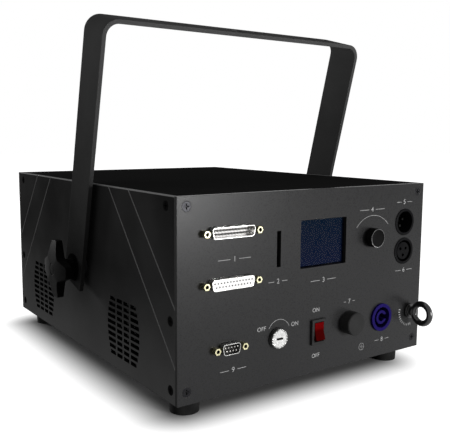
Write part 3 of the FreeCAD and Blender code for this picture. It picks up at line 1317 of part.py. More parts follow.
def combiner_mirrors():
    """Mirrors standing on the mounts, which turn the beams into one line."""
    plate = box("mirror_master", ("-mirror_width/2", "-mirror_thick/2", "0"), "mirror_width", "mirror_thick",
                "mirror_height")
    spots = [(x, BEAM_Y, f"({PLATE_TOP} + mount_height)", "diagonal") for x in LASER_X]
    return copies("combiner_mirrors", plate, spots)


FIRST_MOTOR_END = f"({BEAM_Y} - motor_distance)"
SECOND_MOTOR_START = f"({SCAN_X} + motor_distance)"


def scanner_motors():
    """The first motor lies along Y, the second along X, each bored for its mirror's shaft."""
    body = cylinder("motor_solid", ("0", "0", "0"), "z", "motor_diameter", "motor_length")
    bore = cylinder("motor_bore", ("0", "0", "0"), "z", "scan_shaft + 2*shaft_gap", "motor_bore_depth")
    motor = cut("motor_master", body, [bore])
    return copies("scanner_motors", motor, [(SCAN_X, FIRST_MOTOR_END, BEAM_Z, "-y"),
                                            (SECOND_MOTOR_START, BEAM_Y, SCAN_Z, "x")])


def scanner_block():
    """Foot with two upright grips, each bored for a motor."""
    grip_width = "(motor_diameter + 2*scanner_wall)"
    near = f"({FIRST_MOTOR_END} - scanner_wall - scanner_grip)"
    right = f"({SECOND_MOTOR_START} + scanner_wall)"
    first = box("first_grip", (f"{SCAN_X} - {grip_width}/2", near, PLATE_TOP), grip_width, "scanner_grip",
                f"{BEAM_Z} - {PLATE_TOP} + {grip_width}/2")
    second = box("second_grip", (right, f"{BEAM_Y} - {grip_width}/2", PLATE_TOP), "scanner_grip", grip_width,
                 f"{SCAN_Z} - {PLATE_TOP} + {grip_width}/2")
    foot_left = f"({SCAN_X} - {grip_width}/2)"
    foot = box("scanner_foot_plate", (foot_left, near, PLATE_TOP), f"{right} + scanner_grip - {foot_left}",
               f"{BEAM_Y} + {grip_width}/2 - {near}", "scanner_foot")
    first_bore = cylinder("first_motor_bore", (SCAN_X, f"{near} - over_cut", BEAM_Z), "y",
                          "motor_diameter + 2*fit_gap", "scanner_grip + 2*over_cut")
    second_bore = cylinder("second_motor_bore", (f"{right} - over_cut", BEAM_Y, SCAN_Z), "x",
                           "motor_diameter + 2*fit_gap", "scanner_grip + 2*over_cut")
    return cut("scanner_block", fuse("scanner_blank", [first, second, foot]), [first_bore, second_bore])


def scan_mirror_x():
    """First mirror, at 45 degrees to the beam, on a shaft along Y."""
    corners = [("-scan_width/2", "-scan_thick/2"), ("scan_width/2", "-scan_thick/2"),
               ("scan_width/2", "scan_thick/2"), ("-scan_width/2", "scan_thick/2")]
    body, sketch, pad = padded_outline("first_mirror_plate", "XZ_Plane", corners, "scan_length",
                                       symmetric=True)
    place(body, (SCAN_X, BEAM_Y, BEAM_Z), "first mirror")
    shaft = cylinder("first_mirror_shaft", (SCAN_X, f"{BEAM_Y} - scan_length/2 + scan_thick", BEAM_Z), "-y",
                     "scan_shaft", "motor_distance - scan_length/2 + motor_bore_depth")
    return fuse("scan_mirror_x", [body, shaft])


def scan_mirror_y():
    """Second mirror, above the first, at 45 degrees, on a shaft along X."""
    corners = [("-scan_wide/2", "-scan_thick/2"), ("scan_wide/2", "-scan_thick/2"),
               ("scan_wide/2", "scan_thick/2"), ("-scan_wide/2", "scan_thick/2")]
    body, sketch, pad = padded_outline("second_mirror_plate", "YZ_Plane", corners, "scan_long",
                                       symmetric=True)
    place(body, (SCAN_X, BEAM_Y, SCAN_Z), "second mirror")
    shaft = cylinder("second_mirror_shaft", (f"{SCAN_X} + scan_long/2 - scan_thick", BEAM_Y, SCAN_Z), "x",
                     "scan_shaft", "motor_distance - scan_long/2 + motor_bore_depth")
    return fuse("scan_mirror_y", [body, shaft])


keep(box("optical_plate", (PLATE_LEFT, PLATE_NEAR, PLATE_UNDER), "plate_width", "plate_depth", "plate_thick"))
keep(plate_pillars())
keep(laser_modules())
keep(mirror_mounts())
keep(combiner_mirrors())
keep(scanner_motors())
keep(scanner_block())
keep(scan_mirror_x())
keep(scan_mirror_y())


# Aperture panel and the glass behind its window
def aperture_panel():
    """Plate across the beam end of the case, with the window in line with the second scan mirror."""
    blank = box("aperture_blank", (LEFT, REAR_INNER, UNDER), "case_width", "panel_thick", "case_height")
    window = centred_box("window_tool", SCAN_X, f"({REAR_INNER} - over_cut)", SCAN_Z, "window_width",
                         "panel_thick + 2*over_cut", "window_height")
    return cut("aperture_panel", blank, [window, copies("rear_screw_holes", screw_hole, rear_screws)])


def window_glass():
    """Clear plate against the inner face of the aperture panel."""
    return centred_box("window_glass", SCAN_X, f"({REAR_INNER} - glass_thick)", SCAN_Z,
                       "window_width + 2*glass_lap", "glass_thick", "window_height + 2*glass_lap")


keep(aperture_panel())
keep(window_glass())


# Electronics
BOARD_RIGHT = across("board_left + board_width")
BOARD_TOP = up("board_bottom + board_height")


def power_supply():
    """Boxed supply on the base plate."""
    near = f"({INNER} + supply_setback)"
    length = f"{PLATE_NEAR} - supply_plate_gap - {near}"
    return box("power_supply", (f"{RIGHT} - side_thick - supply_side_gap - supply_width", near, FLOOR),
               "supply_width", length, "supply_height")


def scanner_drivers():
    """Two drivers, each an upright heat spreader on a foot."""
    wall = box("driver_wall", ("-driver_width/2", "-driver_thick/2", "0"), "driver_width", "driver_thick",
               "driver_height")
    foot = box("driver_foot_plate", ("-driver_width/2", "-driver_thick/2", "0"), "driver_width",
               "driver_foot", "driver_thick")
    driver = fuse("driver_master", [wall, foot])
    x = f"({LEFT} + side_thick + driver_inset)"
    first = f"{INNER} + driver_setback"
    spots = [(x, f"({first} + {number}*driver_pitch)", FLOOR, "z") for number in range(DRIVERS)]
    return copies("scanner_drivers", driver, spots)


def control_board():
    """Board behind the display and the encoder."""
    left = across("board_left")
    bottom = up("board_bottom")
    return box("control_board", (left, f"({INNER} + spacer_length)", bottom), f"{BOARD_RIGHT} - {left}",
               "board_thick", f"{BOARD_TOP} - {bottom}")


def board_spacers():
    """Spacers between the connector panel and the control board."""
    spacer = cylinder("spacer_master", ("0", "0", "0"), "z", "spacer_diameter", "spacer_length")
    columns = (f"({across('board_left')} + spacer_inset)", f"({BOARD_RIGHT} - spacer_inset)")
    rows = (f"({up('board_bottom')} + spacer_inset)", f"({BOARD_TOP} - spacer_inset)")
    return copies("board_spacers", spacer, [(x, INNER, z, "y") for x in columns for z in rows])


keep(power_supply())
keep(scanner_drivers())
keep(control_board())
keep(board_spacers())


# Fans behind the vents of the left side panel
FAN_X = f"({LEFT} + side_thick)"
HUB_END = "(fan_depth - fan_plate - run_gap)"


def fan_frame():
    """Square frame with a round duct, struts, a motor plate and a shaft, its front at the origin."""
    blank = box("fan_blank", ("-fan_size/2", "-fan_size/2", "0"), "fan_size", "fan_size", "fan_depth")
    duct = cylinder("fan_duct", ("0", "0", "-over_cut"), "z", "fan_bore", "fan_depth + 2*over_cut")
    plate_z = "(fan_depth - fan_plate)"
    level = box("fan_strut_level", ("-fan_size/2", "-fan_strut/2", plate_z), "fan_size", "fan_strut",
                "fan_plate")
    upright = box("fan_strut_upright", ("-fan_strut/2", "-fan_size/2", plate_z), "fan_strut", "fan_size",
                  "fan_plate")
    plate = cylinder("fan_motor_plate", ("0", "0", plate_z), "z", "fan_plate_diameter", "fan_plate")
    shaft = cylinder("fan_shaft_solid", ("0", "0", "fan_front_gap + fan_shell + run_gap"), "z", "fan_shaft",
                     "fan_depth - fan_front_gap - fan_shell - run_gap")
    ducted = cut("fan_ducted", blank, [duct])
    return fuse("fan_frame_master", [ducted, level, upright, plate, shaft])


def fan_rotor():
    """Hub with pitched blades, bored for the shaft."""
    hub_length = f"({HUB_END} - fan_front_gap)"
    hub = cylinder("fan_hub_solid", ("0", "0", "fan_front_gap"), "z", "fan_hub", hub_length)
    blade_length = "(fan_bore/2 - fan_tip_gap - fan_hub/2 + fan_shell)"
    middle_z = f"(fan_front_gap + {hub_length}/2)"
    corners = [("-blade_chord/2", "-blade_thick/2"), ("blade_chord/2", "-blade_thick/2"),
               ("blade_chord/2", "blade_thick/2"), ("-blade_chord/2", "blade_thick/2")]
    blade, sketch, pad = padded_outline("fan_blade", "YZ_Plane", corners, blade_length)
    pitch = FreeCAD.Rotation(X_AXIS, value("blade_pitch"))
    radius = value("fan_hub/2 - fan_shell")
    spots = []
    for number in range(FAN_BLADES):
        angle = 2 * math.pi * number / FAN_BLADES
        spin = FreeCAD.Rotation(Z_AXIS, math.degrees(angle))
        spots.append((radius * math.cos(angle), radius * math.sin(angle), middle_z, spin.multiply(pitch)))
    blades = copies("fan_blades", blade, spots)
    bore = cylinder("fan_hub_bore", ("0", "0", "fan_front_gap + fan_shell"), "z", "fan_shaft + 2*shaft_gap",
                    f"{HUB_END} - fan_front_gap - fan_shell + over_cut")
    return cut("fan_rotor_master", fuse("fan_rotor_blank", [hub, blades]), [bore])


fan_spots = [(FAN_X, y, VENT_Z, "x") for y in VENT_Y]
keep(copies("fan_frames", fan_frame(), fan_spots))
rotor = fan_rotor()
keep(copies("front_fan_rotor", rotor, fan_spots[:1]))
keep(copies("rear_fan_rotor", rotor, fan_spots[1:]))


# Check every object and every sub-part, then write them
doc.recompute()
failed = [thing.Label for thing in doc.Objects if "Invalid" in thing.State or "Error" in thing.State]
if failed:
    raise RuntimeError("failed objects: " + ", ".join(failed))
for thing in subparts:
    if thing.Shape.isNull() or not thing.Shape.isValid() or not thing.Shape.Solids:
        raise RuntimeError("bad shape: " + thing.Label)
os.makedirs("parts", exist_ok=True)
for thing in subparts:
    thing.Shape.exportStep(os.path.join("parts", thing.Label + ".step"))
print(len(subparts), "sub-parts written")
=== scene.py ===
import math

import bmesh
import bpy
from mathutils import Matrix, Vector


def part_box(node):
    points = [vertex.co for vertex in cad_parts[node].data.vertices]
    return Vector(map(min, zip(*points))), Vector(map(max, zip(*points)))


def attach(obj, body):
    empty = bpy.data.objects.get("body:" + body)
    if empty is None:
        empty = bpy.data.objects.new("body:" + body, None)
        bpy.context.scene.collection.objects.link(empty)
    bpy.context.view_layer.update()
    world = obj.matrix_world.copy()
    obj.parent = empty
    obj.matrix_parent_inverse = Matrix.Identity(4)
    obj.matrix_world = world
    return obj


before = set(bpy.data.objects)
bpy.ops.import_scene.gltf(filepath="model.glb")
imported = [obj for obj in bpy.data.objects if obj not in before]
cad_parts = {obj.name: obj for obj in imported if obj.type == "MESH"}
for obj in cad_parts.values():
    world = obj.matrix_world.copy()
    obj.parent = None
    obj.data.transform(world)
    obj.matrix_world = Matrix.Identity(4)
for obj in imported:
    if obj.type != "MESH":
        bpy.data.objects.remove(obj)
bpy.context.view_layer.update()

# Places on the object, in metres
MM = 0.001
panel_low, panel_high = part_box("connector_panel")
LEFT = panel_low.x
FACE = panel_low.y
UNDER = panel_low.z
TOP = panel_high.z
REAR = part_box("aperture_panel")[1].y
PANEL_THICK = panel_high.y - panel_low.y
PANEL_AXIS = (0.0, 1.0, 0.0)
ORIGIN = (0.0, 0.0, 0.0)

# Turns, in radians
QUARTER_TURN = math.pi / 2
FULL_TURN = 2 * math.pi
SMOOTH_TURN = math.radians(40)
UPRIGHT = (QUARTER_TURN, 0.0, 0.0)


def on_panel(across, up):
    """A place on the connector panel, in millimetres from its lower left corner."""
    return Vector((LEFT + across * MM, FACE, UNDER + up * MM))


def middle(node):
    """The middle of a CAD node's box."""
    low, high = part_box(node)
    return (low + high) / 2


# Shader parts
EVEN = (1.0, 1.0, 1.0)
NOISE_LOW = 0.35
NOISE_HIGH = 0.65
EDGE_SAMPLES = 6
EDGE_TURN = 0.7
FLAT_TURN = 0.99


def grey(level):
    """A colour without a hue."""
    return (level, level, level)


def new_finish(name, metallic=0.0, specular=0.5):
    """A material with a Principled shader. Returns both."""
    finish = bpy.data.materials.new(name)
    finish.use_nodes = True
    shader = finish.node_tree.nodes["Principled BSDF"]
    shader.inputs["Metallic"].default_value = metallic
    shader.inputs["Specular IOR Level"].default_value = specular
    return finish, shader


def add(owner, kind, **settings):
    """A node in the tree of a finish or of the world."""
    made = owner.node_tree.nodes.new(kind)
    for name, setting in settings.items():
        setattr(made, name, setting)
    return made


def link(owner, source, target):
    """A wire between two sockets."""
    owner.node_tree.links.new(source, target)


def set_sockets(node, settings):
    """Set a node's sockets by their names."""
    for socket, setting in settings.items():
        node.inputs[socket].default_value = setting


def place(finish, stretch=EVEN, centre=ORIGIN):
    """The piece's own coordinates, moved and stretched."""
    coordinates = add(finish, "ShaderNodeTexCoord")
    mapping = add(finish, "ShaderNodeMapping")
    set_sockets(mapping, {"Location": [-c * s for c, s in zip(centre, stretch)], "Scale": stretch})
    link(finish, coordinates.outputs["Object"], mapping.inputs["Vector"])
    return mapping.outputs["Vector"]


def split_place(finish, centre=ORIGIN):
    """The three coordinates of the piece's own place, from a centre."""
    split = add(finish, "ShaderNodeSeparateXYZ")
    link(finish, place(finish, centre=centre), split.inputs["Vector"])
    return split.outputs


def noise(finish, scale, detail=3.0, stretch=EVEN):
    """Cloudy noise from 0 to 1."""
    texture = add(finish, "ShaderNodeTexNoise")
    set_sockets(texture, {"Scale": scale, "Detail": detail})
    link(finish, place(finish, stretch), texture.inputs["Vector"])
    return texture.outputs["Fac"]


def spread(owner, source, low, high, start=NOISE_LOW, end=NOISE_HIGH):
    """A value carried from one range to another. The first is that of most noise if none is given."""
    carry = add(owner, "ShaderNodeMapRange")
    set_sockets(carry, {"From Min": start, "From Max": end, "To Min": low, "To Max": high})
    link(owner, source, carry.inputs["Value"])
    return carry.outputs["Result"]


def varied(finish, source, level, changes):
    """A level that varies with noise, by a change down and a change up."""
    low, high = (level + change for change in changes)
    return spread(finish, source, low, high)


def rises(owner, source, start, end, top=1.0):
    """Nought up to a start, and a top level from an end on."""
    return spread(owner, source, 0.0, top, start, end)


def falls(owner, source, start, end):
    """One up to a start, and nought from an end on."""
    return spread(owner, source, 1.0, 0.0, start, end)


def joined(owner, first, second, operation="ADD"):
    """Two values put together."""
    pair = add(owner, "ShaderNodeMath", operation=operation)
    link(owner, first, pair.inputs[0])
    link(owner, second, pair.inputs[1])
    return pair.outputs["Value"]


def size_of(finish, source):
    """A value without its sign."""
    unsigned = add(finish, "ShaderNodeMath", operation="ABSOLUTE")
    link(finish, source, unsigned.inputs[0])
    return unsigned.outputs["Value"]


def facing(finish, axis):
    """How far a face looks along one axis of the piece, either way."""
    split = add(finish, "ShaderNodeSeparateXYZ")
    link(finish, add(finish, "ShaderNodeTexCoord").outputs["Normal"], split.inputs["Vector"])
    return size_of(finish, split.outputs[axis])


def shade(finish, source, dark, light):
    """A colour between two, by a value from 0 to 1."""
    ramp = add(finish, "ShaderNodeValToRGB")
    ramp.color_ramp.elements[0].color = (*dark, 1.0)
    ramp.color_ramp.elements[1].color = (*light, 1.0)
    link(finish, source, ramp.inputs["Fac"])
    return ramp.outputs["Color"]


def over(finish, mask, colour, top):
    """One colour laid over another where a mask is one."""
    mix = add(finish, "ShaderNodeMix", data_type="RGBA")
    link(finish, mask, mix.inputs["Factor"])
    link(finish, colour, mix.inputs["A"])
    mix.inputs["B"].default_value = (*top, 1.0)
    return mix.outputs["Result"]


def soft_normal(finish, radius):
    """A normal that rounds sharp edges."""
    bevel = add(finish, "ShaderNodeBevel", samples=EDGE_SAMPLES)
    bevel.inputs["Radius"].default_value = radius
    return bevel.outputs["Normal"]


def painted_edge_shading(finish, normal, colour, edge_shading, amount):
    """A colour that turns into another along the edges: painted highlight where it is lighter, painted shade
    where it is darker.
    """
    geometry = add(finish, "ShaderNodeNewGeometry")
    turn = add(finish, "ShaderNodeVectorMath", operation="DOT_PRODUCT")
    link(finish, normal, turn.inputs[0])
    link(finish, geometry.outputs["Normal"], turn.inputs[1])
    mask = spread(finish, turn.outputs["Value"], amount, 0.0, EDGE_TURN, FLAT_TURN)
    return over(finish, mask, colour, edge_shading)


def surface(finish, shader, colour, rough):
    """Give a shader its colour and its roughness."""
    link(finish, colour, shader.inputs["Base Color"])
    link(finish, rough, shader.inputs["Roughness"])


def relief(finish, shader, bumps, height, normal, strength):
    """Bumps as high as given, over softened edges."""
    bump = add(finish, "ShaderNodeBump")
    set_sockets(bump, {"Strength": strength, "Distance": height})
    link(finish, bumps, bump.inputs["Height"])
    link(finish, normal, bump.inputs["Normal"])
    link(finish, bump.outputs["Normal"], shader.inputs["Normal"])


# Noise scales, in cells per metre
COAT_GRAIN = 1500.0
COAT_CLOUD = 14.0
MOULD_HAZE = 60.0
ENAMEL_PEEL = 420.0
ENAMEL_HAZE = 90.0
TOOL_MARKS = 900.0
SHEET_MARKS = 160.0
MIRROR_MARKS = 60.0
METAL_STAIN = 45.0
RUBBER_PORES = 1100.0
RUBBER_DUST = 70.0
ROCKER_GRAIN = 800.0
SCREEN_PIXELS = 2500.0
SCREEN_HAZE = 300.0
GLASS_SMEAR = 35.0
BOARD_TRACKS = 90.0
BOARD_HAZE = 200.0
INK_GRAIN = 2200.0

# Heights of relief and radii of softened edges
GRAIN_HEIGHT = 0.03 * MM
PEEL_HEIGHT = 0.05 * MM
MARK_HEIGHT = 0.01 * MM
PORE_HEIGHT = 0.08 * MM
ROCKER_HEIGHT = 0.02 * MM
TRACK_HEIGHT = 0.05 * MM
COAT_EDGE = 0.6 * MM
ENAMEL_EDGE = 0.8 * MM
METAL_EDGE = 0.2 * MM
METAL_SHADE_EDGE = 0.75 * MM
RUBBER_EDGE = 0.9 * MM
ROCKER_EDGE = 0.4 * MM

# How roughness varies over a finish
COAT_CHANGES = (-0.05, 0.06)
MOULD_CHANGES = (-0.04, 0.08)
METAL_CHANGES = (-0.05, 0.09)

# How far a face looks along an axis where a mask begins and is full
LOOKS_ALONG = (0.6, 0.8)
LOOKS_AWAY = (0.4, 0.6)

# Shares of clouds, grain and painted light by height in a coat's tone, of painted highlight along its edges,
# and the look of painted shade on the faces a mask picks
CLOUD_SHARE = 0.15
GRAIN_SHARE = 0.1
HEIGHT_LIGHT_SHARE = 0.65
EDGE_SHADING_SHARE = 0.6
SHADE_COAT = grey(0.004)
SHADE_COAT_ROUGH = 0.9

# The end, the way inwards, the run along the top edge and the drop of each groove, lengths in millimetres
GROOVES = (
    (FACE, 1.0, 110.0, 124.4),
    (FACE, 1.0, 74.3, 80.5),
    (REAR, -1.0, 97.5, 115.1),
    (REAR, -1.0, 61.0, 68.2),
)
GROOVE_CORE = 0.8 * MM
GROOVE_EDGE = 1.05 * MM
# The top edge of the side panels, where a highlight is painted
TOP_HIGHLIGHT_START = TOP - 0.9 * MM
TOP_HIGHLIGHT_FULL = TOP - 0.6 * MM
LIP_START = TOP - 6.0 * MM
LIP_FULL = TOP - 5.0 * MM

# How deep in the case the end panels' screws are bare metal, and where that ends and the darker shaded copy
# on the sides begins
SCREW_FULL = 3.0 * MM
SCREW_END = 3.5 * MM

# Where the pins darkened by painted shade and the painted highlight on the rocker begin and are full
DATA_PINS = (LEFT + 150.0 * MM, LEFT + 160.0 * MM)
UPPER_PINS = (UNDER + 55.0 * MM, UNDER + 60.0 * MM)
UPPER_PINS_SHADE = 0.72
ROCKER_RISE = (8.0 * MM, 11.0 * MM)

# Where the screen's black border begins and is full, out from its middle, and the look of the panes
SCREEN_SIDES = (22.6 * MM, 24.6 * MM)
SCREEN_ENDS = (18.3 * MM, 18.9 * MM)
# Strength of the screen's painted glow
SCREEN_PAINTED_GLOW = 0.45
PIXEL_SHARE = 0.12
LENS_BEND = 1.12
GLASS_BEND = 1.48


# Finishes
def panel_rims(finish):
    """One on the narrow side faces of the end panels, where shade is painted."""
    return rises(finish, facing(finish, "X"), *LOOKS_ALONG)


def slot_walls(finish):
    """One on the walls of the vents and on the lower edges of the side panels, where shade is painted."""
    below = falls(finish, split_place(finish)["Z"], LIP_START, LIP_FULL)
    return joined(finish, falls(finish, facing(finish, "X"), *LOOKS_AWAY), below, "MULTIPLY")


def hole_walls(finish):
    """One on the walls that don't look to the front, where shade is painted."""
    return falls(finish, facing(finish, "Y"), *LOOKS_AWAY)


def groove_and_highlight_lines(finish):
    """One along the grooves, and along the top edge of the side panels where a highlight is painted, and
    nought elsewhere.
    """
    own = split_place(finish)
    lines = rises(finish, own["Z"], TOP_HIGHLIGHT_START, TOP_HIGHLIGHT_FULL)
    for end, way, run, drop in GROOVES:
        corner = end + way * PANEL_THICK
        slope = (end + way * run * MM - corner) / (drop * MM)
        slant = add(finish, "ShaderNodeMath", operation="MULTIPLY_ADD")
        link(finish, own["Z"], slant.inputs[0])
        slant.inputs[1].default_value = -slope
        slant.inputs[2].default_value = slope * (TOP - drop * MM) - corner
        apart = size_of(finish, joined(finish, own["Y"], slant.outputs["Value"]))
        lines = joined(finish, lines, falls(finish, apart, GROOVE_CORE, GROOVE_EDGE), "MAXIMUM")
    return lines


def powder_coat(name, dark, light, rough, specular, edge_shading, heights, shaded_faces=None, groove=None):
    """Textured paint, painted lighter towards the second of two heights, with painted highlights along its
    edges and paler grooves.

    On narrow faces that a mask picks, painted shade makes it darker, and it has little gloss there.
    """
    finish, shader = new_finish(name, specular=specular)
    grain = noise(finish, COAT_GRAIN, detail=2.0)
    cloud = noise(finish, COAT_CLOUD)
    speckle = joined(finish, spread(finish, cloud, 0.0, CLOUD_SHARE), spread(finish, grain, 0.0, GRAIN_SHARE))
    first, second = (UNDER + height * MM for height in heights)
    # Painted light: the tone grows lighter towards the second height
    tone = joined(finish, speckle, rises(finish, split_place(finish)["Z"], first, second, HEIGHT_LIGHT_SHARE))
    normal = soft_normal(finish, COAT_EDGE)
    # Painted highlight along the edges
    colour = painted_edge_shading(finish, normal, shade(finish, tone, dark, light), edge_shading, EDGE_SHADING_SHARE)
    gloss = varied(finish, grain, rough, COAT_CHANGES)
    # Painted shade on the faces the mask picks
    if shaded_faces:
        narrow = shaded_faces(finish)
        colour = over(finish, narrow, colour, SHADE_COAT)
        gloss = joined(finish, gloss, rises(finish, narrow, 0.0, 1.0, SHADE_COAT_ROUGH), "MAXIMUM")
    # Paler grooves, and a painted highlight along the top edge
    if groove:
        colour = over(finish, groove_and_highlight_lines(finish), colour, groove)
    surface(finish, shader, colour, gloss)
    relief(finish, shader, grain, GRAIN_HEIGHT, normal, strength=0.15)
    return finish


def moulded(name, dark, light, rough, specular, edge, grain_size=0.5, walls=None):
    """Moulded plastic: a faint spark-eroded grain and softened edges, sizes in millimetres.

    The walls of its holes and pockets may be darkened by painted shade.
    """
    finish, shader = new_finish(name, specular=specular)
    grain = noise(finish, 1.0 / (grain_size * MM), detail=2.0)
    haze = noise(finish, MOULD_HAZE)
    colour = shade(finish, spread(finish, haze, 0.0, 1.0), dark, light)
    # Painted shade on the walls of holes and pockets
    if walls:
        colour = over(finish, hole_walls(finish), colour, walls)
    surface(finish, shader, colour, varied(finish, grain, rough, MOULD_CHANGES))
    relief(finish, shader, grain, GRAIN_HEIGHT, soft_normal(finish, edge * MM), strength=0.3)
    return finish


def enamel(name, dark, light):
    """Gloss paint with a faint orange peel."""
    finish, shader = new_finish(name)
    peel = noise(finish, ENAMEL_PEEL, detail=2.0)
    colour = shade(finish, spread(finish, peel, 0.0, 1.0), dark, light)
    surface(finish, shader, colour, spread(finish, noise(finish, ENAMEL_HAZE), 0.16, 0.26))
    relief(finish, shader, peel, PEEL_HEIGHT, soft_normal(finish, ENAMEL_EDGE), strength=0.25)
    return finish


def tool_marked(finish, shader, colour, rough, changes=METAL_CHANGES, stretch=EVEN, scale=TOOL_MARKS):
    """Give a metal its colour, and tool marks in its gloss and its relief."""
    marks = noise(finish, scale, stretch=stretch)
    surface(finish, shader, colour, varied(finish, marks, rough, changes))
    relief(finish, shader, marks, MARK_HEIGHT, soft_normal(finish, METAL_EDGE), strength=0.3)
    return finish


def metal(name, dark, light, rough, stretch=EVEN, scale=TOOL_MARKS, edge_shading=None):
    """Bare or plated metal with tool marks that run along one axis where it is stretched.

    Where an edge colour is given, painted shade turns it to that colour along the edges.
    """
    finish, shader = new_finish(name, metallic=1.0)
    stain = noise(finish, METAL_STAIN)
    colour = shade(finish, spread(finish, stain, 0.0, 1.0), dark, light)
    # Painted shade along the edges
    if edge_shading:
        colour = painted_edge_shading(finish, soft_normal(finish, METAL_SHADE_EDGE), colour, edge_shading, 1.0)
    return tool_marked(finish, shader, colour, rough, stretch=stretch, scale=scale)


def case_screw_metal():
    """Zinc-black screws on the end panels, and a darker shaded copy without reflections on the sides and the
    cover, as painted shade.
    """
    finish, shader = new_finish("screw_black_zinc", specular=0.0)
    own = split_place(finish)
    front = falls(finish, own["Y"], FACE + SCREW_FULL, FACE + SCREW_END)
    back = rises(finish, own["Y"], REAR - SCREW_END, REAR - SCREW_FULL)
    # Metallic on the end panels; painted shade makes the others darker and without reflections
    bare = joined(finish, front, back, "MAXIMUM")
    link(finish, bare, shader.inputs["Metallic"])
    colour = shade(finish, bare, grey(0.006), (0.012, 0.012, 0.013))
    return tool_marked(finish, shader, colour, rough=0.26, changes=(0.0, 0.14))


def pin_metal():
    """Tinned pins in the low port, and the same pins darkened by painted shade in the port above and in the
    round data socket.
    """
    finish, shader = new_finish("contact_tin", metallic=1.0)
    own = split_place(finish)
    right = rises(finish, own["X"], *DATA_PINS)
    above = rises(finish, own["Z"], *UPPER_PINS, UPPER_PINS_SHADE)
    # Painted shade darkens the pins in the upper port and in the data socket
    shaded_pins = joined(finish, right, above, "MAXIMUM")
    colour = shade(finish, shaded_pins, (0.38, 0.37, 0.35), grey(0.01))
    return tool_marked(finish, shader, colour, rough=0.25, changes=(0.0, 0.15))


def foot_rubber():
    """Dull black rubber with dust in its pores."""
    finish, shader = new_finish("foot_rubber_black", specular=0.05)
    pores = noise(finish, RUBBER_PORES)
    dust = noise(finish, RUBBER_DUST, detail=4.0)
    colour = shade(finish, spread(finish, dust, 0.0, 1.0), grey(0.007), (0.016, 0.016, 0.0155))
    surface(finish, shader, colour, spread(finish, pores, 0.6, 0.8))
    relief(finish, shader, pores, PORE_HEIGHT, soft_normal(finish, RUBBER_EDGE), strength=0.5)
    return finish


def rocker_red():
    """Translucent-looking red plastic, with a painted highlight that makes it brighter towards the top of the
    rocker.
    """
    finish, shader = new_finish("rocker_red", specular=0.005)
    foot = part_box("power_rocker")[0].z
    start, end = (foot + rise for rise in ROCKER_RISE)
    # Painted highlight on the upper part of the rocker
    upper = rises(finish, split_place(finish)["Z"], start, end)
    grain = noise(finish, ROCKER_GRAIN, detail=2.0)
    colour = shade(finish, upper, (0.034, 0.0002, 0.0002), (0.09, 0.0008, 0.0012))
    surface(finish, shader, colour, spread(finish, grain, 0.2, 0.32))
    relief(finish, shader, grain, ROCKER_HEIGHT, soft_normal(finish, ROCKER_EDGE), strength=0.2)
    return finish


def display_screen():
    """Screen with a painted glow, though it is no lamp, painted lighter and bluer towards its lower part,
    with a fine pixel grid and a black border.
    """
    finish, shader = new_finish("screen_navy", specular=0.08)
    low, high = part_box("display_lens")
    height = rises(finish, split_place(finish)["Z"], low.z, high.z)
    # Painted light: lighter and bluer towards the lower part
    lit = shade(finish, height, (0.009, 0.017, 0.062), (0.004, 0.016, 0.042))
    own = split_place(finish, (low + high) / 2)
    sides = rises(finish, size_of(finish, own["X"]), *SCREEN_SIDES)
    ends = rises(finish, size_of(finish, own["Z"]), *SCREEN_ENDS)
    tone = over(finish, joined(finish, sides, ends, "MAXIMUM"), lit, (0.001, 0.001, 0.003))
    grid = add(finish, "ShaderNodeTexChecker")
    grid.inputs["Scale"].default_value = SCREEN_PIXELS
    link(finish, place(finish), grid.inputs["Vector"])
    mix = add(finish, "ShaderNodeMix", data_type="RGBA", blend_type="MULTIPLY")
    mix.inputs["Factor"].default_value = PIXEL_SHARE
    link(finish, tone, mix.inputs["A"])
    link(finish, grid.outputs["Color"], mix.inputs["B"])
    surface(finish, shader, mix.outputs["Result"], spread(finish, noise(finish, SCREEN_HAZE), 0.25, 0.35))
    # Painted glow, though the screen is no lamp
    link(finish, mix.outputs["Result"], shader.inputs["Emission Color"])
    shader.inputs["Emission Strength"].default_value = SCREEN_PAINTED_GLOW
    return finish


def clear_pane(name, tint, bend=GLASS_BEND):
    """Clear glass or lens plastic with faint smears."""
    finish, shader = new_finish(name)
    smear = noise(finish, GLASS_SMEAR, detail=4.0)
    set_sockets(shader, {"Transmission Weight": 1.0, "IOR": bend})
    surface(finish, shader, shade(finish, smear, tint, (0.97, 0.98, 0.98)), spread(finish, smear, 0.01, 0.05))
    return finish


def circuit_board():
    """Green lacquer over copper tracks."""
    finish, shader = new_finish("board_green_lacquer")
    tracks = add(finish, "ShaderNodeTexBrick")
    set_sockets(tracks, {"Scale": BOARD_TRACKS, "Mortar Size": 0.03, "Color1": (0.01, 0.09, 0.03, 1.0),
                         "Color2": (0.012, 0.12, 0.04, 1.0), "Mortar": (0.04, 0.2, 0.06, 1.0)})
    link(finish, place(finish), tracks.inputs["Vector"])
    surface(finish, shader, tracks.outputs["Color"], spread(finish, noise(finish, BOARD_HAZE), 0.3, 0.45))
    relief(finish, shader, tracks.outputs["Fac"], TRACK_HEIGHT, soft_normal(finish, METAL_EDGE), strength=0.4)
    return finish


def screen_print():
    """Flat grey-white ink with slightly uneven cover."""
    finish, shader = new_finish("panel_ink", specular=0.2)
    cover = noise(finish, INK_GRAIN, detail=2.0)
    colour = shade(finish, spread(finish, cover, 0.0, 1.0), grey(0.23), grey(0.35))
    surface(finish, shader, colour, spread(finish, cover, 0.55, 0.7))
    return finish


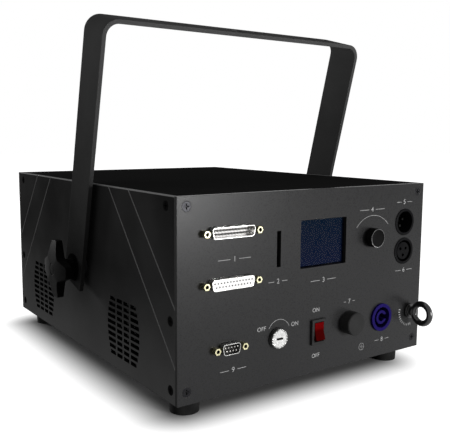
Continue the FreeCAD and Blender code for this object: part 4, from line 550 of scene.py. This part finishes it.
# Each coat is painted lighter towards one height and has painted highlights along its edges; the panel and
# side coats also get painted shade on the faces a mask picks
panel_coat = powder_coat("panel_charcoal_coat", (0.009, 0.009, 0.0093), (0.016, 0.016, 0.0164), rough=0.3,
                         specular=0.12, edge_shading=grey(0.07), heights=(150.0, 0.0), shaded_faces=panel_rims)
side_coat = powder_coat("side_charcoal_coat", grey(0.012), grey(0.085), rough=0.5, specular=0.0,
                        edge_shading=grey(0.05), heights=(85.0, 0.0), shaded_faces=slot_walls, groove=grey(0.2))
cover_coat = powder_coat("cover_dull_coat", grey(0.01), grey(0.016), rough=0.6, specular=0.0, edge_shading=grey(0.1),
                         heights=(0.0, 400.0))
yoke_coat = powder_coat("yoke_coat", grey(0.011), grey(0.07), rough=0.45, specular=0.0, edge_shading=grey(0.1),
                        heights=(90.0, 300.0))
eye_enamel = enamel("eyebolt_gloss_black", grey(0.004), grey(0.008))
milled_aluminium = metal("milled_aluminium", (0.55, 0.55, 0.56), (0.66, 0.66, 0.67), rough=0.32,
                         stretch=(1.0, 12.0, 12.0))
black_anodised = metal("black_anodised", (0.02, 0.02, 0.022), (0.035, 0.035, 0.037), rough=0.4)
zinc_sheet = metal("supply_zinc_sheet", (0.42, 0.43, 0.45), (0.6, 0.61, 0.62), rough=0.38, scale=SHEET_MARKS)
black_oxide = metal("thread_black_oxide", grey(0.012), grey(0.03), rough=0.3)
screw_zinc = case_screw_metal()
dial_highlight = metal("dial_highlight_ring", grey(0.16), grey(0.24), rough=0.3)
turned_steel = metal("turned_steel", (0.48, 0.48, 0.49), grey(0.62), rough=0.26, stretch=(9.0, 1.0, 1.0))
port_nickel = metal("port_nickel", (0.66, 0.65, 0.63), (0.8, 0.79, 0.77), rough=0.24)
dull_nickel = metal("interlock_dull_nickel", (0.3, 0.3, 0.29), (0.4, 0.4, 0.39), rough=0.3)
key_chrome = metal("key_chrome", (0.42, 0.42, 0.415), (0.55, 0.55, 0.54), rough=0.26)
# Painted shade darkens the jackscrews along their edges
jack_brass = metal("jackscrew_pale_brass", (0.5, 0.47, 0.28), (0.62, 0.59, 0.4), rough=0.22,
                   edge_shading=(0.03, 0.028, 0.006))
contact_tin = pin_metal()
mirror_silver = metal("mirror_silver", grey(0.9), grey(0.95), rough=0.07, scale=MIRROR_MARKS)
rubber = foot_rubber()
knob_nylon = moulded("clamp_knob_nylon", grey(0.002), grey(0.0045), rough=0.45, specular=0.004, edge=0.8,
                     grain_size=0.6)
dial_black = moulded("dial_black", grey(0.003), grey(0.006), rough=0.42, specular=0.01, edge=0.4)
fuse_black = moulded("fuse_cap_black", grey(0.015), grey(0.021), rough=0.45, specular=0.04, edge=0.5)
dark_plastic = moulded("dark_plastic", (0.003, 0.003, 0.0034), (0.006, 0.006, 0.0064), rough=0.35,
                       specular=0.015, edge=0.4)
white_plastic = moulded("port_white_plastic", (0.68, 0.67, 0.66), (0.78, 0.77, 0.76), rough=0.42,
                        specular=0.3, edge=0.15, walls=(0.16, 0.16, 0.155))
grey_plastic = moulded("port_grey_plastic", (0.045, 0.044, 0.043), (0.065, 0.064, 0.062), rough=0.5,
                       specular=0.1, edge=0.15)
mains_blue = moulded("mains_inlet_blue", (0.007, 0.004, 0.048), (0.011, 0.0065, 0.075), rough=0.4,
                     specular=0.012, edge=0.4)
fibre = moulded("washer_fibre", grey(0.002), grey(0.004), rough=0.75, specular=0.0, edge=0.15,
                grain_size=0.25)
fan_black = moulded("fan_black", grey(0.009), grey(0.015), rough=0.5, specular=0.3, edge=0.3)
red = rocker_red()
screen = display_screen()
lens_clear = clear_pane("display_lens_clear", (0.93, 0.95, 0.97), LENS_BEND)
window_clear = clear_pane("window_glass_clear", (0.9, 0.95, 0.93))
fuse_glass = clear_pane("fuse_glass", (0.92, 0.93, 0.9))
board = circuit_board()
ink = screen_print()

NODE_FINISHES = {
    panel_coat: ["connector_panel", "aperture_panel"],
    side_coat: ["left_side_panel", "right_side_panel", "base_plate"],
    cover_coat: ["top_cover"],
    yoke_coat: ["yoke_bracket"],
    eye_enamel: ["eyebolt"],
    milled_aluminium: ["corner_blocks", "plate_pillars", "mirror_mounts", "scanner_block", "scanner_drivers",
                       "board_spacers"],
    black_anodised: ["optical_plate", "laser_modules", "pivot_bosses"],
    zinc_sheet: ["power_supply"],
    screw_zinc: ["case_screws"],
    black_oxide: ["key_switch_body"],
    turned_steel: ["foot_screws", "left_clamp_stud", "right_clamp_stud", "eyebolt_nut", "encoder_shaft",
                   "scanner_motors"],
    port_nickel: ["signal_in_shell", "signal_out_shell"],
    dull_nickel: ["interlock_shell"],
    key_chrome: ["key_barrel"],
    jack_brass: ["jackscrews"],
    contact_tin: ["connector_pins"],
    mirror_silver: ["combiner_mirrors", "scan_mirror_x", "scan_mirror_y"],
    rubber: ["rubber_feet"],
    knob_nylon: ["left_clamp_knob", "right_clamp_knob"],
    dial_black: ["encoder_knob"],
    fuse_black: ["fuse_cap", "fuse_holder_body", "rocker_housing"],
    grey_plastic: ["interlock_insulator"],
    dark_plastic: ["card_socket", "encoder_body", "data_in_housing", "data_out_housing"],
    white_plastic: ["signal_in_insulator", "signal_out_insulator"],
    mains_blue: ["mains_inlet"],
    fibre: ["friction_washers"],
    fan_black: ["fan_frames", "front_fan_rotor", "rear_fan_rotor"],
    red: ["power_rocker"],
    screen: ["display_module"],
    lens_clear: ["display_lens"],
    window_clear: ["window_glass"],
    fuse_glass: ["fuse_link"],
    board: ["control_board"],
}
for finish, names in NODE_FINISHES.items():
    for name in names:
        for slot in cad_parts[name].material_slots:
            slot.material = finish


# Modelling by hand
MERGE_GAP = 0.002 * MM
SQUARE_ON = 0.9


def nothing_picked():
    """Deselect every piece."""
    bpy.ops.object.select_all(action="DESELECT")


def only(piece):
    """Select one piece and nothing else."""
    nothing_picked()
    piece.select_set(True)
    bpy.context.view_layer.objects.active = piece


def settle(piece):
    """Put a piece's place into its mesh."""
    only(piece)
    bpy.ops.object.transform_apply(location=True, rotation=True, scale=True)
    return piece


def enter_edit(piece):
    """Open a piece for face work with nothing picked."""
    only(piece)
    bpy.ops.object.mode_set(mode="EDIT")
    bpy.ops.mesh.select_mode(type="FACE")
    bpy.ops.mesh.select_all(action="DESELECT")


def leave_edit():
    """Merge what meets, turn the faces outwards and close the piece."""
    bpy.ops.mesh.select_all(action="SELECT")
    bpy.ops.mesh.remove_doubles(threshold=MERGE_GAP)
    bpy.ops.mesh.normals_make_consistent(inside=False)
    bpy.ops.object.mode_set(mode="OBJECT")


def pick(piece, wanted, edges=False):
    """Pick the faces, or the edges, that a test wants."""
    bpy.ops.mesh.select_mode(type="EDGE" if edges else "FACE")
    mesh = bmesh.from_edit_mesh(piece.data)
    for part in mesh.edges if edges else mesh.faces:
        part.select_set(wanted(part))
    mesh.select_flush_mode()
    bmesh.update_edit_mesh(piece.data)


def rounded(piece, width, segments=2):
    """Bevel the sharp edges of a piece and smooth the rest."""
    only(piece)
    bevel = piece.modifiers.new("rounded", "BEVEL")
    bevel.width = width
    bevel.segments = segments
    bevel.limit_method = "ANGLE"
    bpy.ops.object.modifier_apply(modifier=bevel.name)
    bpy.ops.object.shade_smooth_by_angle(angle=SMOOTH_TURN)
    return piece


def swept(name, spot, across, along, centre, angle, steps):
    """A small rectangle swept round an axis square to the panel. Its sides lie along two directions."""
    nothing_picked()
    bpy.ops.mesh.primitive_plane_add(size=1.0, location=spot)
    piece = bpy.context.object
    piece.name = name
    normal = across.cross(along).normalized()
    turned = Matrix((across.normalized(), along.normalized(), normal)).transposed().to_4x4()
    sides = Matrix.Diagonal((across.length, along.length, 1, 1))
    piece.matrix_world = Matrix.Translation(spot) @ turned @ sides
    settle(piece)
    enter_edit(piece)
    bpy.ops.mesh.select_all(action="SELECT")
    bpy.ops.mesh.spin(steps=steps, angle=angle, center=centre, axis=PANEL_AXIS)
    leave_edit()
    return piece


def copied(piece, shift):
    """A copy of a piece with a mesh of its own, moved aside."""
    only(piece)
    bpy.ops.object.duplicate(linked=False)
    twin = bpy.context.object
    twin.location = shift
    return settle(twin)


def made_one(name, pieces):
    """Several pieces joined under one name."""
    nothing_picked()
    for piece in pieces:
        piece.select_set(True)
    bpy.context.view_layer.objects.active = pieces[0]
    bpy.ops.object.join()
    whole = bpy.context.object
    whole.name = name
    return whole


def dressed(piece, finish, body):
    """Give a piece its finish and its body."""
    piece.data.materials.clear()
    piece.data.materials.append(finish)
    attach(piece, body)


# Print on the connector panel, lines and heights in millimetres
INK_THICK = 0.06 * MM
INK_EDGE = 0.02 * MM
INK_LINE = 0.42
SCALE_LINE = 0.32
EARTH_LINE = 0.28
CAPITAL_SHARE = 0.69
LETTER_STEPS = 4
NUMBER_HEIGHT = 4.0
NUMBER_ROOM = 8.0
WORD_HEIGHT = 3.4
prints = []


def print_words(words, across, up, height):
    """Raised ink in the shape of a word or number, centred on a place."""
    nothing_picked()
    bpy.ops.object.text_add(location=on_panel(across, up), rotation=UPRIGHT)
    text = bpy.context.object
    text.data.body = words
    text.data.size = height * MM / CAPITAL_SHARE
    text.data.align_x = "CENTER"
    text.data.align_y = "CENTER"
    text.data.resolution_u = LETTER_STEPS
    text.data.extrude = INK_THICK
    bpy.ops.object.convert(target="MESH")
    prints.append(settle(bpy.context.object))


def print_bar(across, up, length, width=INK_LINE):
    """A straight line of ink with its edges bevelled."""
    nothing_picked()
    bpy.ops.mesh.primitive_plane_add(size=1.0, location=on_panel(across, up), rotation=UPRIGHT)
    bar = bpy.context.object
    bar.scale = (length * MM, width * MM, 1.0)
    settle(bar)
    enter_edit(bar)
    bpy.ops.mesh.select_all(action="SELECT")
    bpy.ops.mesh.extrude_region_move(TRANSFORM_OT_translate={"value": (0.0, -INK_THICK, 0.0)})
    leave_edit()
    prints.append(rounded(bar, INK_EDGE, 1))


def print_arc(across, up, radius, start, end, width, steps=40):
    """A line of ink round a centre, between two angles from the level right, in degrees."""
    centre = on_panel(across, up)
    turn = math.radians(start)
    outward = Vector((math.cos(turn), 0.0, math.sin(turn)))
    spot = centre + outward * radius * MM - Vector((0.0, INK_THICK / 2, 0.0))
    prints.append(swept("arc_print", spot, outward * width * MM, Vector((0.0, INK_THICK, 0.0)), centre,
                        math.radians(end - start), steps))


def print_mark(number, across, up, width):
    """A plain number between two short lines."""
    run = (width - NUMBER_ROOM) / 2
    print_words(number, across, up, NUMBER_HEIGHT)
    print_bar(across - width / 2 + run / 2, up, run)
    print_bar(across + width / 2 - run / 2, up, run)


# Each number, its place and the width of the mark
MARKS = (
    ("1", 49.8, 103.3, 30.0),
    ("2", 91.5, 81.3, 19.0),
    ("3", 139.4, 77.0, 28.0),
    ("4", 194.4, 131.5, 30.0),
    ("5", 235.2, 136.0, 20.0),
    ("6", 237.2, 74.4, 22.0),
    ("7", 169.9, 54.6, 13.0),
    ("8", 211.7, 14.3, 18.0),
    ("9", 49.1, 18.5, 24.0),
)
SWITCH_WORDS = (("OFF", 75.7, 45.3), ("ON", 109.3, 44.6), ("ON", 132.0, 52.5), ("OFF", 132.6, 13.9))
# Centre, radius, start and end of the arcs over the encoder knob and the key switch
SCALES = ((195.5, 101.5, 25.0, 141.0, 40.5), (93.1, 39.4, 11.3, 153.0, 24.0))
EARTH = (186.2, 12.0)
EARTH_RADIUS = 3.0
# Height over the middle of the earth mark, length and width of its lines
EARTH_BARS = (
    (0.1, 3.0, EARTH_LINE),
    (-0.75, 1.8, EARTH_LINE),
    (-1.5, 0.8, EARTH_LINE),
    (1.0, EARTH_LINE, 1.8),
)
EYE_SCALE = (247.0, 35.4)
TICK_RADIUS = 13.0
TICK_ANGLES = range(168, 288, 10)
TICK_SWEEP = 3.0
TICK_LENGTH = 2.2
TICK_STEPS = 2

for mark in MARKS:
    print_mark(*mark)
for words, across, up in SWITCH_WORDS:
    print_words(words, across, up, WORD_HEIGHT)
for scale in SCALES:
    print_arc(*scale, SCALE_LINE)
print_arc(*EARTH, EARTH_RADIUS, 0.0, 360.0, EARTH_LINE)
for rise, length, width in EARTH_BARS:
    print_bar(EARTH[0], EARTH[1] + rise, length, width)
for angle in TICK_ANGLES:
    print_arc(*EYE_SCALE, TICK_RADIUS, angle, angle + TICK_SWEEP, TICK_LENGTH, TICK_STEPS)
dressed(made_one("panel_print", prints), ink, "case")


# Ring of painted highlight on the encoder knob's front edge, and rim on the key barrel
RING_INSET = 0.5 * MM


def front_ring(name, node, setback, width, depth, steps, edge):
    """A ring round the front edge of a turned piece."""
    low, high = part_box(node)
    centre = middle(node)
    radius = (high.x - low.x) / 2
    spot = Vector((centre.x + radius - RING_INSET, low.y + setback, centre.z))
    ring = swept(name, spot, Vector((width, 0.0, 0.0)), Vector((0.0, depth, 0.0)), centre, FULL_TURN, steps)
    return rounded(ring, edge)


# A ring of painted highlight on the knob's front edge
encoder_highlight_ring = front_ring("encoder_highlight_ring", "encoder_knob", setback=0.42 * MM, width=0.36 * MM, depth=0.36 * MM,
                          steps=72, edge=0.1 * MM)
dressed(encoder_highlight_ring, dial_highlight, "encoder_dial")
key_rim = front_ring("key_rim", "key_barrel", setback=0.1 * MM, width=0.9 * MM, depth=0.7 * MM,
                     steps=64, edge=0.2 * MM)
dressed(key_rim, key_chrome, "key_lock")


# Caps over the clamp knobs' screws
CAP_RADIUS = 4.9 * MM
CAP_DEPTH = 0.9 * MM
CAP_SETBACK = 0.75 * MM
CAP_EDGE = 0.15 * MM
CAP_CORNERS = 48
# Inset and rise of each step of the dome
CAP_STEPS = ((0.9 * MM, 0.15 * MM), (1.4 * MM, 0.1 * MM))


def knob_cap(side, body, way):
    """A domed cap in the middle of a knob's outer face."""
    low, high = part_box(f"{side}_clamp_knob")
    centre = middle(f"{side}_clamp_knob")
    level = low.x + CAP_SETBACK if way < 0 else high.x - CAP_SETBACK
    spot = (level, centre.y, centre.z)
    nothing_picked()
    bpy.ops.mesh.primitive_cylinder_add(vertices=CAP_CORNERS, radius=CAP_RADIUS, depth=CAP_DEPTH,
                                        location=spot, rotation=(0.0, QUARTER_TURN, 0.0))
    cap = bpy.context.object
    cap.name = f"{side}_knob_cap"
    settle(cap)
    enter_edit(cap)
    pick(cap, lambda face: face.normal.x * way > SQUARE_ON)
    for inset, rise in CAP_STEPS:
        bpy.ops.mesh.inset(thickness=inset)
        bpy.ops.transform.translate(value=(rise * way, 0.0, 0.0))
    leave_edit()
    rounded(cap, CAP_EDGE)
    dressed(cap, knob_nylon, body)


knob_cap("left", "left_knob", -1)
knob_cap("right", "right_knob", 1)


# Threads in the jackscrews, dark as painted shade in their bores
THREAD_RADIUS = 1.37 * MM
THREAD_LENGTH = 3.4 * MM
THREAD_SETBACK = 0.3 * MM
THREAD_TURNS = 6
THREAD_CORNERS = 24
THREAD_CREST = 0.84
# The jackscrews' distance at each port, in millimetres
JACK_SPACINGS = (("signal_in", 47.04), ("signal_out", 47.04), ("interlock", 25.0))


def jack_thread(spot):
    """A sleeve with teeth inside a jackscrew's bore, open in front, dark as painted shade."""
    centre = spot + Vector((0.0, THREAD_SETBACK + THREAD_LENGTH / 2, 0.0))
    front = centre.y - THREAD_LENGTH / 2
    step = THREAD_LENGTH / (2 * THREAD_TURNS)

    def lengthwise(edge):
        return abs(edge.verts[0].co.y - edge.verts[1].co.y) > THREAD_LENGTH / 2

    def on_crest(edge):
        rings = [round((corner.co.y - front) / step) for corner in edge.verts]
        return rings[0] == rings[1] and rings[0] % 2 == 1

    nothing_picked()
    bpy.ops.mesh.primitive_cylinder_add(vertices=THREAD_CORNERS, radius=THREAD_RADIUS, depth=THREAD_LENGTH,
                                        location=centre, rotation=UPRIGHT)
    sleeve = bpy.context.object
    settle(sleeve)
    enter_edit(sleeve)
    pick(sleeve, lambda face: face.normal.y < -SQUARE_ON)
    bpy.ops.mesh.delete(type="FACE")
    pick(sleeve, lengthwise, edges=True)
    bpy.ops.mesh.subdivide(number_cuts=2 * THREAD_TURNS - 1)
    pick(sleeve, on_crest, edges=True)
    bpy.ops.transform.resize(value=(THREAD_CREST, 1.0, THREAD_CREST), center_override=centre)
    leave_edit()
    return sleeve


jack_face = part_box("jackscrews")[0].y
jack_spots = []
for port, spacing in JACK_SPACINGS:
    port_middle = middle(f"{port}_shell")
    for way in (-1, 1):
        jack_spots.append(Vector((port_middle.x + way * spacing * MM / 2, jack_face, port_middle.z)))
threads = [jack_thread(jack_spots[0])]
for spot in jack_spots[1:]:
    threads.append(copied(threads[0], spot - jack_spots[0]))
# The sleeves are dark plastic, as painted shade in the bores
dressed(made_one("shaded_jack_threads", threads), dark_plastic, "case")


# Rubber frame round the beam window
WINDOW_LAP = 5.0 * MM
WINDOW_SETBACK = 2.2 * MM
WINDOW_RIM = 1.2 * MM
WINDOW_DEPTH = 2.0 * MM
WINDOW_EDGE = 0.3 * MM


def window_frame():
    """A moulded frame in the opening of the aperture panel."""
    low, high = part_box("window_glass")
    centre = middle("window_glass")
    width = high.x - low.x - 2 * WINDOW_LAP
    height = high.z - low.z - 2 * WINDOW_LAP
    nothing_picked()
    bpy.ops.mesh.primitive_plane_add(size=1.0, location=(centre.x, REAR - WINDOW_SETBACK, centre.z),
                                     rotation=(-QUARTER_TURN, 0.0, 0.0))
    rim = bpy.context.object
    rim.name = "window_frame"
    rim.scale = (width, height, 1.0)
    settle(rim)
    enter_edit(rim)
    bpy.ops.mesh.select_all(action="SELECT")
    bpy.ops.mesh.inset(thickness=WINDOW_RIM)
    bpy.ops.mesh.delete(type="FACE")
    bpy.ops.mesh.select_all(action="SELECT")
    bpy.ops.mesh.extrude_region_move(TRANSFORM_OT_translate={"value": (0.0, WINDOW_DEPTH, 0.0)})
    leave_edit()
    rounded(rim, WINDOW_EDGE)
    dressed(rim, rubber, "case")


window_frame()


# Camera at the photograph's angle
FORWARD = Vector((0.56607, 0.81465, -0.12615)).normalized()
RIGHT = Vector((0.82164, -0.56997, 0.00618)).normalized()
UP = RIGHT.cross(FORWARD)
EYE = Vector((LEFT - 0.2350, FACE - 0.3968, UNDER + 0.1948))
SENSOR_WIDTH = 36.0
LENS_LENGTH = 53.67
NEAR_LIMIT = 0.01

bpy.ops.object.camera_add()
camera = bpy.context.object
camera.name = "photo_camera"
camera.data.sensor_width = SENSOR_WIDTH
camera.data.lens = LENS_LENGTH
camera.data.clip_start = NEAR_LIMIT
camera.matrix_world = Matrix.Translation(EYE) @ Matrix((RIGHT, UP, -FORWARD)).transposed().to_4x4()
bpy.context.scene.camera = camera


# Floor, world and lamps
FLOOR_SIZE = 12.0
FLOOR_PAINT = 0.5
SHADOW_PAINT = 0.2
SHADOW_SHIFT = 10.0 * MM
SHADOW_INSET = 20.0 * MM
SHADOW_REACH = 55.0 * MM
WORLD_FILL = 0.3
# Name, place, aim, side and power of each lamp
SOFTBOXES = (
    ("front_softbox", (0.39, -1.25, 0.17), (-0.08, -0.15, 0.12), 0.3, 16.5),
    ("right_softbox", (1.4, -1.0, 0.6), (0.0, -0.15, 0.08), 0.5, 1.4),
    ("raking_softbox", (-0.6, 1.6, 0.32), (-0.13, 0.0, 0.1), 0.4, 20.0),
    ("top_softbox", (-0.6, 0.2, 2.0), (0.0, 0.0, 0.1), 1.4, 6.0),
)


def seen_rays(owner):
    """One for rays of the camera, of reflections and through glass, and nought for the rest."""
    rays = add(owner, "ShaderNodeLightPath").outputs
    outer = joined(owner, rays["Is Camera Ray"], rays["Is Glossy Ray"], "MAXIMUM")
    return joined(owner, outer, rays["Is Transmission Ray"], "MAXIMUM")


def vector_step(finish, operation, source, other=ORIGIN):
    """A step of arithmetic on a vector."""
    step = add(finish, "ShaderNodeVectorMath", operation=operation)
    link(finish, source, step.inputs[0])
    step.inputs[1].default_value = other
    return step.outputs


def clear_of_case(finish):
    """A mask for the painted shadow: nought under the case, and up to one a little way out from just inside
    its edges.
    """
    low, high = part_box("base_plate")
    core = ((low.x + high.x) / 2 - SHADOW_SHIFT, (low.y + high.y) / 2, 0.0)
    half = ((high.x - low.x) / 2 - SHADOW_INSET, (high.y - low.y) / 2 - SHADOW_INSET, 0.0)
    own = add(finish, "ShaderNodeTexCoord").outputs["Object"]
    apart = vector_step(finish, "SUBTRACT", own, core)["Vector"]
    far = vector_step(finish, "ABSOLUTE", apart)["Vector"]
    past = vector_step(finish, "SUBTRACT", far, half)["Vector"]
    outside = vector_step(finish, "MAXIMUM", past)["Vector"]
    distance = vector_step(finish, "LENGTH", outside)["Value"]
    fade = add(finish, "ShaderNodeMapRange", interpolation_type="SMOOTHSTEP")
    fade.inputs["From Max"].default_value = SHADOW_REACH
    link(finish, distance, fade.inputs["Value"])
    return fade.outputs["Result"]


def white_floor():
    """A wide pale floor that keeps the object's shadow, with a painted shadow under and round the case."""
    nothing_picked()
    bpy.ops.mesh.primitive_plane_add(size=FLOOR_SIZE, location=ORIGIN)
    floor = bpy.context.object
    floor.name = "studio_floor"
    finish = bpy.data.materials.new("studio_white")
    finish.use_nodes = True
    finish.node_tree.nodes.clear()
    # Painted shadow: darker paint and no glow under and round the case
    clear = clear_of_case(finish)
    paint = add(finish, "ShaderNodeBsdfDiffuse")
    link(finish, spread(finish, clear, SHADOW_PAINT, FLOOR_PAINT, 0.0, 1.0), paint.inputs["Color"])
    glow = add(finish, "ShaderNodeEmission")
    link(finish, joined(finish, seen_rays(finish), clear, "MULTIPLY"), glow.inputs["Strength"])
    both = add(finish, "ShaderNodeAddShader")
    link(finish, paint.outputs["BSDF"], both.inputs[0])
    link(finish, glow.outputs["Emission"], both.inputs[1])
    output = add(finish, "ShaderNodeOutputMaterial")
    link(finish, both.outputs["Shader"], output.inputs["Surface"])
    floor.data.materials.append(finish)


def studio_world():
    """White to the eye and in reflections, and a modest fill elsewhere."""
    world = bpy.data.worlds.new("studio_world")
    world.use_nodes = True
    background = world.node_tree.nodes["Background"]
    background.inputs["Color"].default_value = (*grey(1.0), 1.0)
    level = spread(world, seen_rays(world), WORLD_FILL, 1.0, 0.0, 1.0)
    link(world, level, background.inputs["Strength"])
    bpy.context.scene.world = world


def softbox(name, spot, aim, side, power):
    """A square lamp turned towards a place."""
    bpy.ops.object.light_add(type="AREA", location=spot)
    lamp = bpy.context.object
    lamp.name = name
    lamp.data.shape = "RECTANGLE"
    lamp.data.size = side
    lamp.data.size_y = side
    lamp.data.energy = power
    lamp.rotation_euler = (Vector(aim) - Vector(spot)).to_track_quat("-Z", "Y").to_euler()


white_floor()
studio_world()
for lamp in SOFTBOXES:
    softbox(*lamp)
bpy.context.scene.view_settings.view_transform = "Standard"
